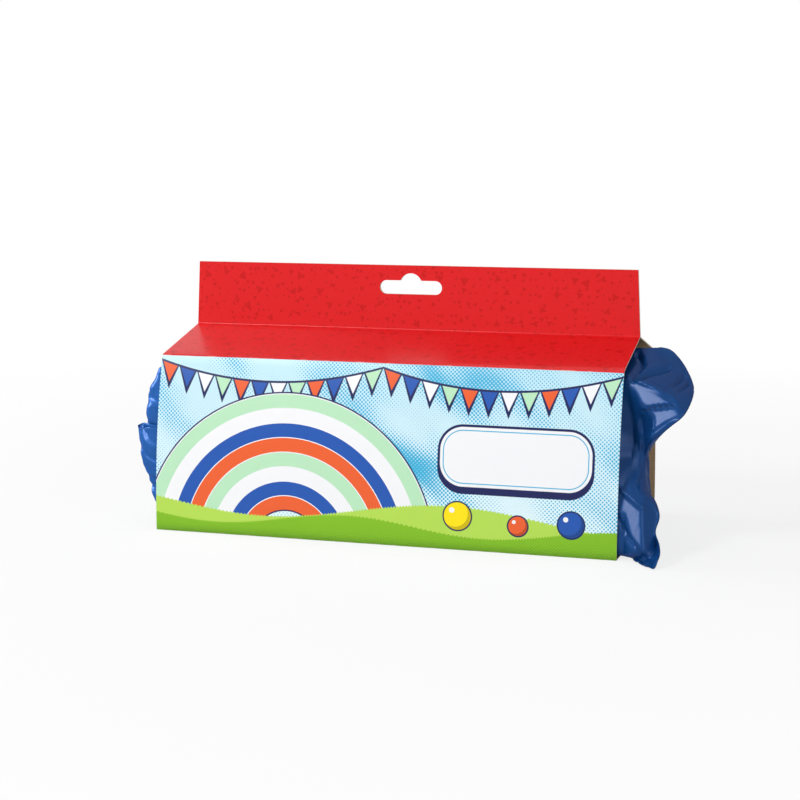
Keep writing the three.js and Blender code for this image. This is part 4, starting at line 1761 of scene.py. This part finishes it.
def make_hub(material):
    """The round centre patch, folded in half under the stack."""
    radius = (HUB_HIGH.x - HUB_LOW.x) / 2
    middle = (HUB_LOW.z + HUB_HIGH.z) / 2
    rows = []
    flats = []
    for ring in range(HUB_RINGS + 1):
        r = max(radius * ring / HUB_RINGS, HUB_HOLE)
        row = []
        flat = []
        for i in range(HUB_SEGMENTS + 1):
            turn = 2 * math.pi * i / HUB_SEGMENTS
            u, v = r * math.cos(turn), r * math.sin(turn)
            lift = HUB_GAP * max(-1.0, min(1.0, v / HUB_BEND))
            row.append((u, HUB_LOW.y + abs(v), middle + lift))
            flat.append((u, v))
        rows.append(row)
        flats.append(flat)
    piece = cloth_from_grid("folded_hub_disc", rows, flats, NYLON)
    piece.data.materials.append(material)
    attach(piece, "parachute")
    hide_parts("hub_disc")


# Webbing handles
WEBBING = 1.1 * MM
WEBBING_EDGE = 0.45 * MM
EDGE_STEPS = 4
HANDLE_STEPS = 14
BEND_STEPS = 10
HANDLE_COUNT = 12
SEWN_LENGTH = 18 * MM
STITCH_MARGIN = 3 * MM
HANDLE_STITCH_PITCH = 2.2 * MM
HANDLE_STITCH = 1.9 * MM
HANDLE_THREAD = 0.42 * MM


def webbing_section(width):
    """Outline of the webbing across its width, with rounded edges."""
    half = width / 2 - WEBBING_EDGE
    thick = WEBBING / 2
    points = []
    for side in (1, -1):
        for step in range(EDGE_STEPS + 1):
            turn = math.pi * (side / 2 - step / EDGE_STEPS)
            points.append((side * half + WEBBING_EDGE * math.cos(turn), thick * math.sin(turn)))
    return points


def handle_line(low, high):
    """The loop of one handle in (x, z), from its lower sewn end round the bend to its upper one."""
    bottom = low.z + WEBBING / 2
    top = high.z - WEBBING / 2
    radius = (top - bottom) / 2
    bend = high.x - (high.z - low.z) / 2
    lower = straight(Vector((low.x, bottom)), Vector((bend, bottom)), HANDLE_STEPS)
    upper = straight(Vector((bend, top)), Vector((low.x, top)), HANDLE_STEPS)
    middle = Vector((bend, (bottom + top) / 2))
    turn = []
    for i in range(1, BEND_STEPS):
        angle = math.pi * (i / BEND_STEPS - 0.5)
        turn.append(middle + Vector((math.cos(angle), math.sin(angle))) * radius)
    return lower + turn + upper


def make_handle(number, material):
    """One loop of webbing, and the lines of its stitches."""
    node = f"handle_{number:02d}"
    low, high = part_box(node)
    middle = (low.y + high.y) / 2
    section = webbing_section(high.y - low.y)
    line = handle_line(low, high)
    marks = line_lengths(line)
    count = len(section)
    verts = []
    uvs = []
    for p, n, mark in zip(line, line_normals(line), marks):
        for y, h in section:
            verts.append((p.x + n.x * h, middle + y, p.y + n.y * h))
            uvs.append((mark, y))
    faces = []
    for r in range(len(line) - 1):
        for c in range(count):
            d = (c + 1) % count
            faces.append((r * count + c, r * count + d, (r + 1) * count + d, (r + 1) * count + c))
    last = (len(line) - 1) * count
    faces.append(tuple(range(count))[::-1])
    faces.append(tuple(last + c for c in range(count)))
    piece = new_object("loop_" + node, verts, faces)
    map_flat(piece, "Cloth", uvs)
    shade_smooth(piece)
    piece.data.materials.append(material)
    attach(piece, "parachute")
    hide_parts(node)
    return sewn_box(low, high)


def sewn_box(low, high):
    """Lines of the box and cross that sew a handle's two ends together."""
    x0, x1 = low.x + STITCH_MARGIN, low.x + SEWN_LENGTH
    y0, y1 = low.y + STITCH_MARGIN, high.y - STITCH_MARGIN
    a, b, c, d = (Vector((x, y, high.z)) for x, y in ((x0, y0), (x1, y0), (x1, y1), (x0, y1)))
    return [[a, b], [b, c], [c, d], [d, a], [a, c], [b, d]]


def make_parachute():
    inks = {}
    for colour, (deep, light) in GORE_INKS.items():
        inks[colour] = nylon(colour + "_nylon", deep, light)
    for number, name in enumerate(GORES):
        make_gore(number, name, inks[name.split("_")[2]])
    make_rim_tape()
    make_hub(inks["white"])
    webbing = ribbed_cloth("black_webbing", "#141517", "#23262A", pitch=1.5 * MM, rough=0.62)
    lines = []
    for number in range(1, HANDLE_COUNT + 1):
        lines += make_handle(number, webbing)
    thread = thread_material("grey_thread", srgb("#6A6E74"))
    make_stitches(
        "handle_stitches", lines, "parachute", thread,
        HANDLE_STITCH_PITCH, HANDLE_STITCH, HANDLE_THREAD,
    )


NYLON_WEAVE = 0.5 * MM
WEAVE_HEIGHT = 0.05
YARN_SLANT = 0.4
YARN_HEIGHT = 0.35
RIB_SHADE = 0.35
FUZZ_SHADE = 0.6


def nylon(name, deep, light):
    """Light nylon: fine weave, small crinkles and a soft sheen."""
    g = Graph(name)
    cloth, along, across = g.flat_place("Cloth")
    crinkle = g.speckle(cloth, scale=90.0, detail=4.0)
    weave = g.math("MULTIPLY", g.ribs(along, NYLON_WEAVE), g.ribs(across, NYLON_WEAVE))
    height = g.math("MULTIPLY_ADD", weave, WEAVE_HEIGHT, crinkle)
    g.principled(
        Base_Color=g.mix(crinkle, srgb(deep), srgb(light)), Roughness=g.spread(crinkle, low=0.38, high=0.58),
        Sheen_Weight=0.15, Normal=g.bump(height, strength=0.35, distance=0.4 * MM),
    )
    return g.material


def ribbed_cloth(name, deep, light, pitch, rough):
    """Tape or webbing: ribs along its length with the yarns crossing them at a slant."""
    g = Graph(name)
    cloth, along, across = g.flat_place("Cloth")
    rib = g.math("ABSOLUTE", g.ribs(across, pitch))
    slant = g.math("MULTIPLY_ADD", rib, pitch * YARN_SLANT, along)
    height = g.math("MULTIPLY_ADD", g.ribs(slant, pitch / 2), YARN_HEIGHT, rib)
    fuzz = g.math("MULTIPLY", g.speckle(cloth, scale=1400.0, detail=2.0), FUZZ_SHADE)
    shade = g.math("MULTIPLY_ADD", height, RIB_SHADE, fuzz)
    g.principled(
        Base_Color=g.mix(shade, srgb(deep), srgb(light)), Roughness=rough, Sheen_Weight=0.2,
        Normal=g.bump(height, strength=0.6, distance=0.25 * MM),
    )
    return g.material


# Floor, light and camera

FLOOR_SIZE = 8.0
FLOOR_DROP = 0.2 * MM
FLOOR_GREY = (0.9, 0.9, 0.9, 1)
WHITE = (1, 1, 1, 1)
FLOOR_WHITE = 0.8
FADE_START = 0.2
FADE_END = 0.7
WORLD_LIGHT = 0.24


def seen_directly(nodes, links):
    """1 for what the camera sees, straight or through gloss or glass, and 0 for the light that it gives."""
    path = nodes.new("ShaderNodeLightPath")
    total = None
    for ray in ("Is Camera Ray", "Is Glossy Ray", "Is Transmission Ray"):
        add = nodes.new("ShaderNodeMath")
        add.use_clamp = True
        if total is not None:
            links.new(total, add.inputs[0])
        else:
            add.inputs[0].default_value = 0.0
        links.new(path.outputs[ray], add.inputs[1])
        total = add.outputs[0]
    return total


def make_floor():
    """A pale floor that keeps the shadow near the object and fades to plain white around it."""
    half = FLOOR_SIZE / 2
    corners = [(-half, -half, 0), (half, -half, 0), (half, half, 0), (-half, half, 0)]
    floor = new_object("floor", corners, [(0, 1, 2, 3)])
    floor.location.z = -FLOOR_DROP
    g = Graph("pale_floor")
    g.principled(Base_Color=FLOOR_GREY, Roughness=0.9, Specular_IOR_Level=0.1)
    white = g.add("Emission", {"Color": WHITE, "Strength": 1.0})
    distance = g.add("VectorMath", {0: g.object_place()}, operation="LENGTH").outputs["Value"]
    fade = g.add("MapRange", {"Value": distance, "From Min": FADE_START, "From Max": FADE_END})
    fade.inputs["To Min"].default_value = FLOOR_WHITE
    share = g.math("MULTIPLY", seen_directly(g.tree.nodes, g.tree.links), fade.outputs[0])
    mixed = g.add("MixShader", {0: share, 1: g.shader.outputs[0], 2: white.outputs[0]})
    output = g.tree.nodes["Material Output"]
    g.tree.links.new(mixed.outputs[0], output.inputs["Surface"])
    floor.data.materials.append(g.material)


def make_world():
    """Even light all round, and plain white where it is seen."""
    world = bpy.data.worlds.new("studio")
    bpy.context.scene.world = world
    world.use_nodes = True
    tree = world.node_tree
    background = tree.nodes["Background"]
    background.inputs["Color"].default_value = WHITE
    strength = tree.nodes.new("ShaderNodeMapRange")
    strength.inputs["To Min"].default_value = WORLD_LIGHT
    strength.inputs["To Max"].default_value = 1.0
    tree.links.new(seen_directly(tree.nodes, tree.links), strength.inputs["Value"])
    tree.links.new(strength.outputs[0], background.inputs["Strength"])


# Lamps: place, size, power
SOFTBOXES = {
    "key": ((-0.9, -1.54, 1.16), 0.5, 22.2),
    "fill": ((1.1, -0.9, 0.6), 0.9, 5.5),
    "top": ((-0.1, 0.0, 1.5), 1.0, 2.5),
    "side": ((-1.3, 0.05, 0.4), 0.35, 10.5),
}
AIM = Vector((0.0, 0.0, 0.06))


def make_lights():
    for name, (place, size, power) in SOFTBOXES.items():
        light = bpy.data.lights.new(name, "AREA")
        light.energy = power
        light.size = size
        lamp = bpy.data.objects.new(name, light)
        bpy.context.scene.collection.objects.link(lamp)
        lamp.location = place
        lamp.rotation_euler = (AIM - Vector(place)).to_track_quat("-Z", "Y").to_euler()


def make_camera():
    data = bpy.data.cameras.new("camera")
    data.lens = CAMERA_LENS
    data.sensor_fit = "HORIZONTAL"
    data.sensor_width = CAMERA_SENSOR
    camera = bpy.data.objects.new("camera", data)
    bpy.context.scene.collection.objects.link(camera)
    camera.location = CAMERA_PLACE
    camera.rotation_euler = (math.pi / 2 - CAMERA_PITCH, CAMERA_ROLL, CAMERA_YAW)
    bpy.context.scene.camera = camera


make_floor()
make_world()
make_lights()
make_camera()
make_sleeve()
make_bag()
make_parachute()

bpy.context.scene.view_settings.view_transform = "Standard"
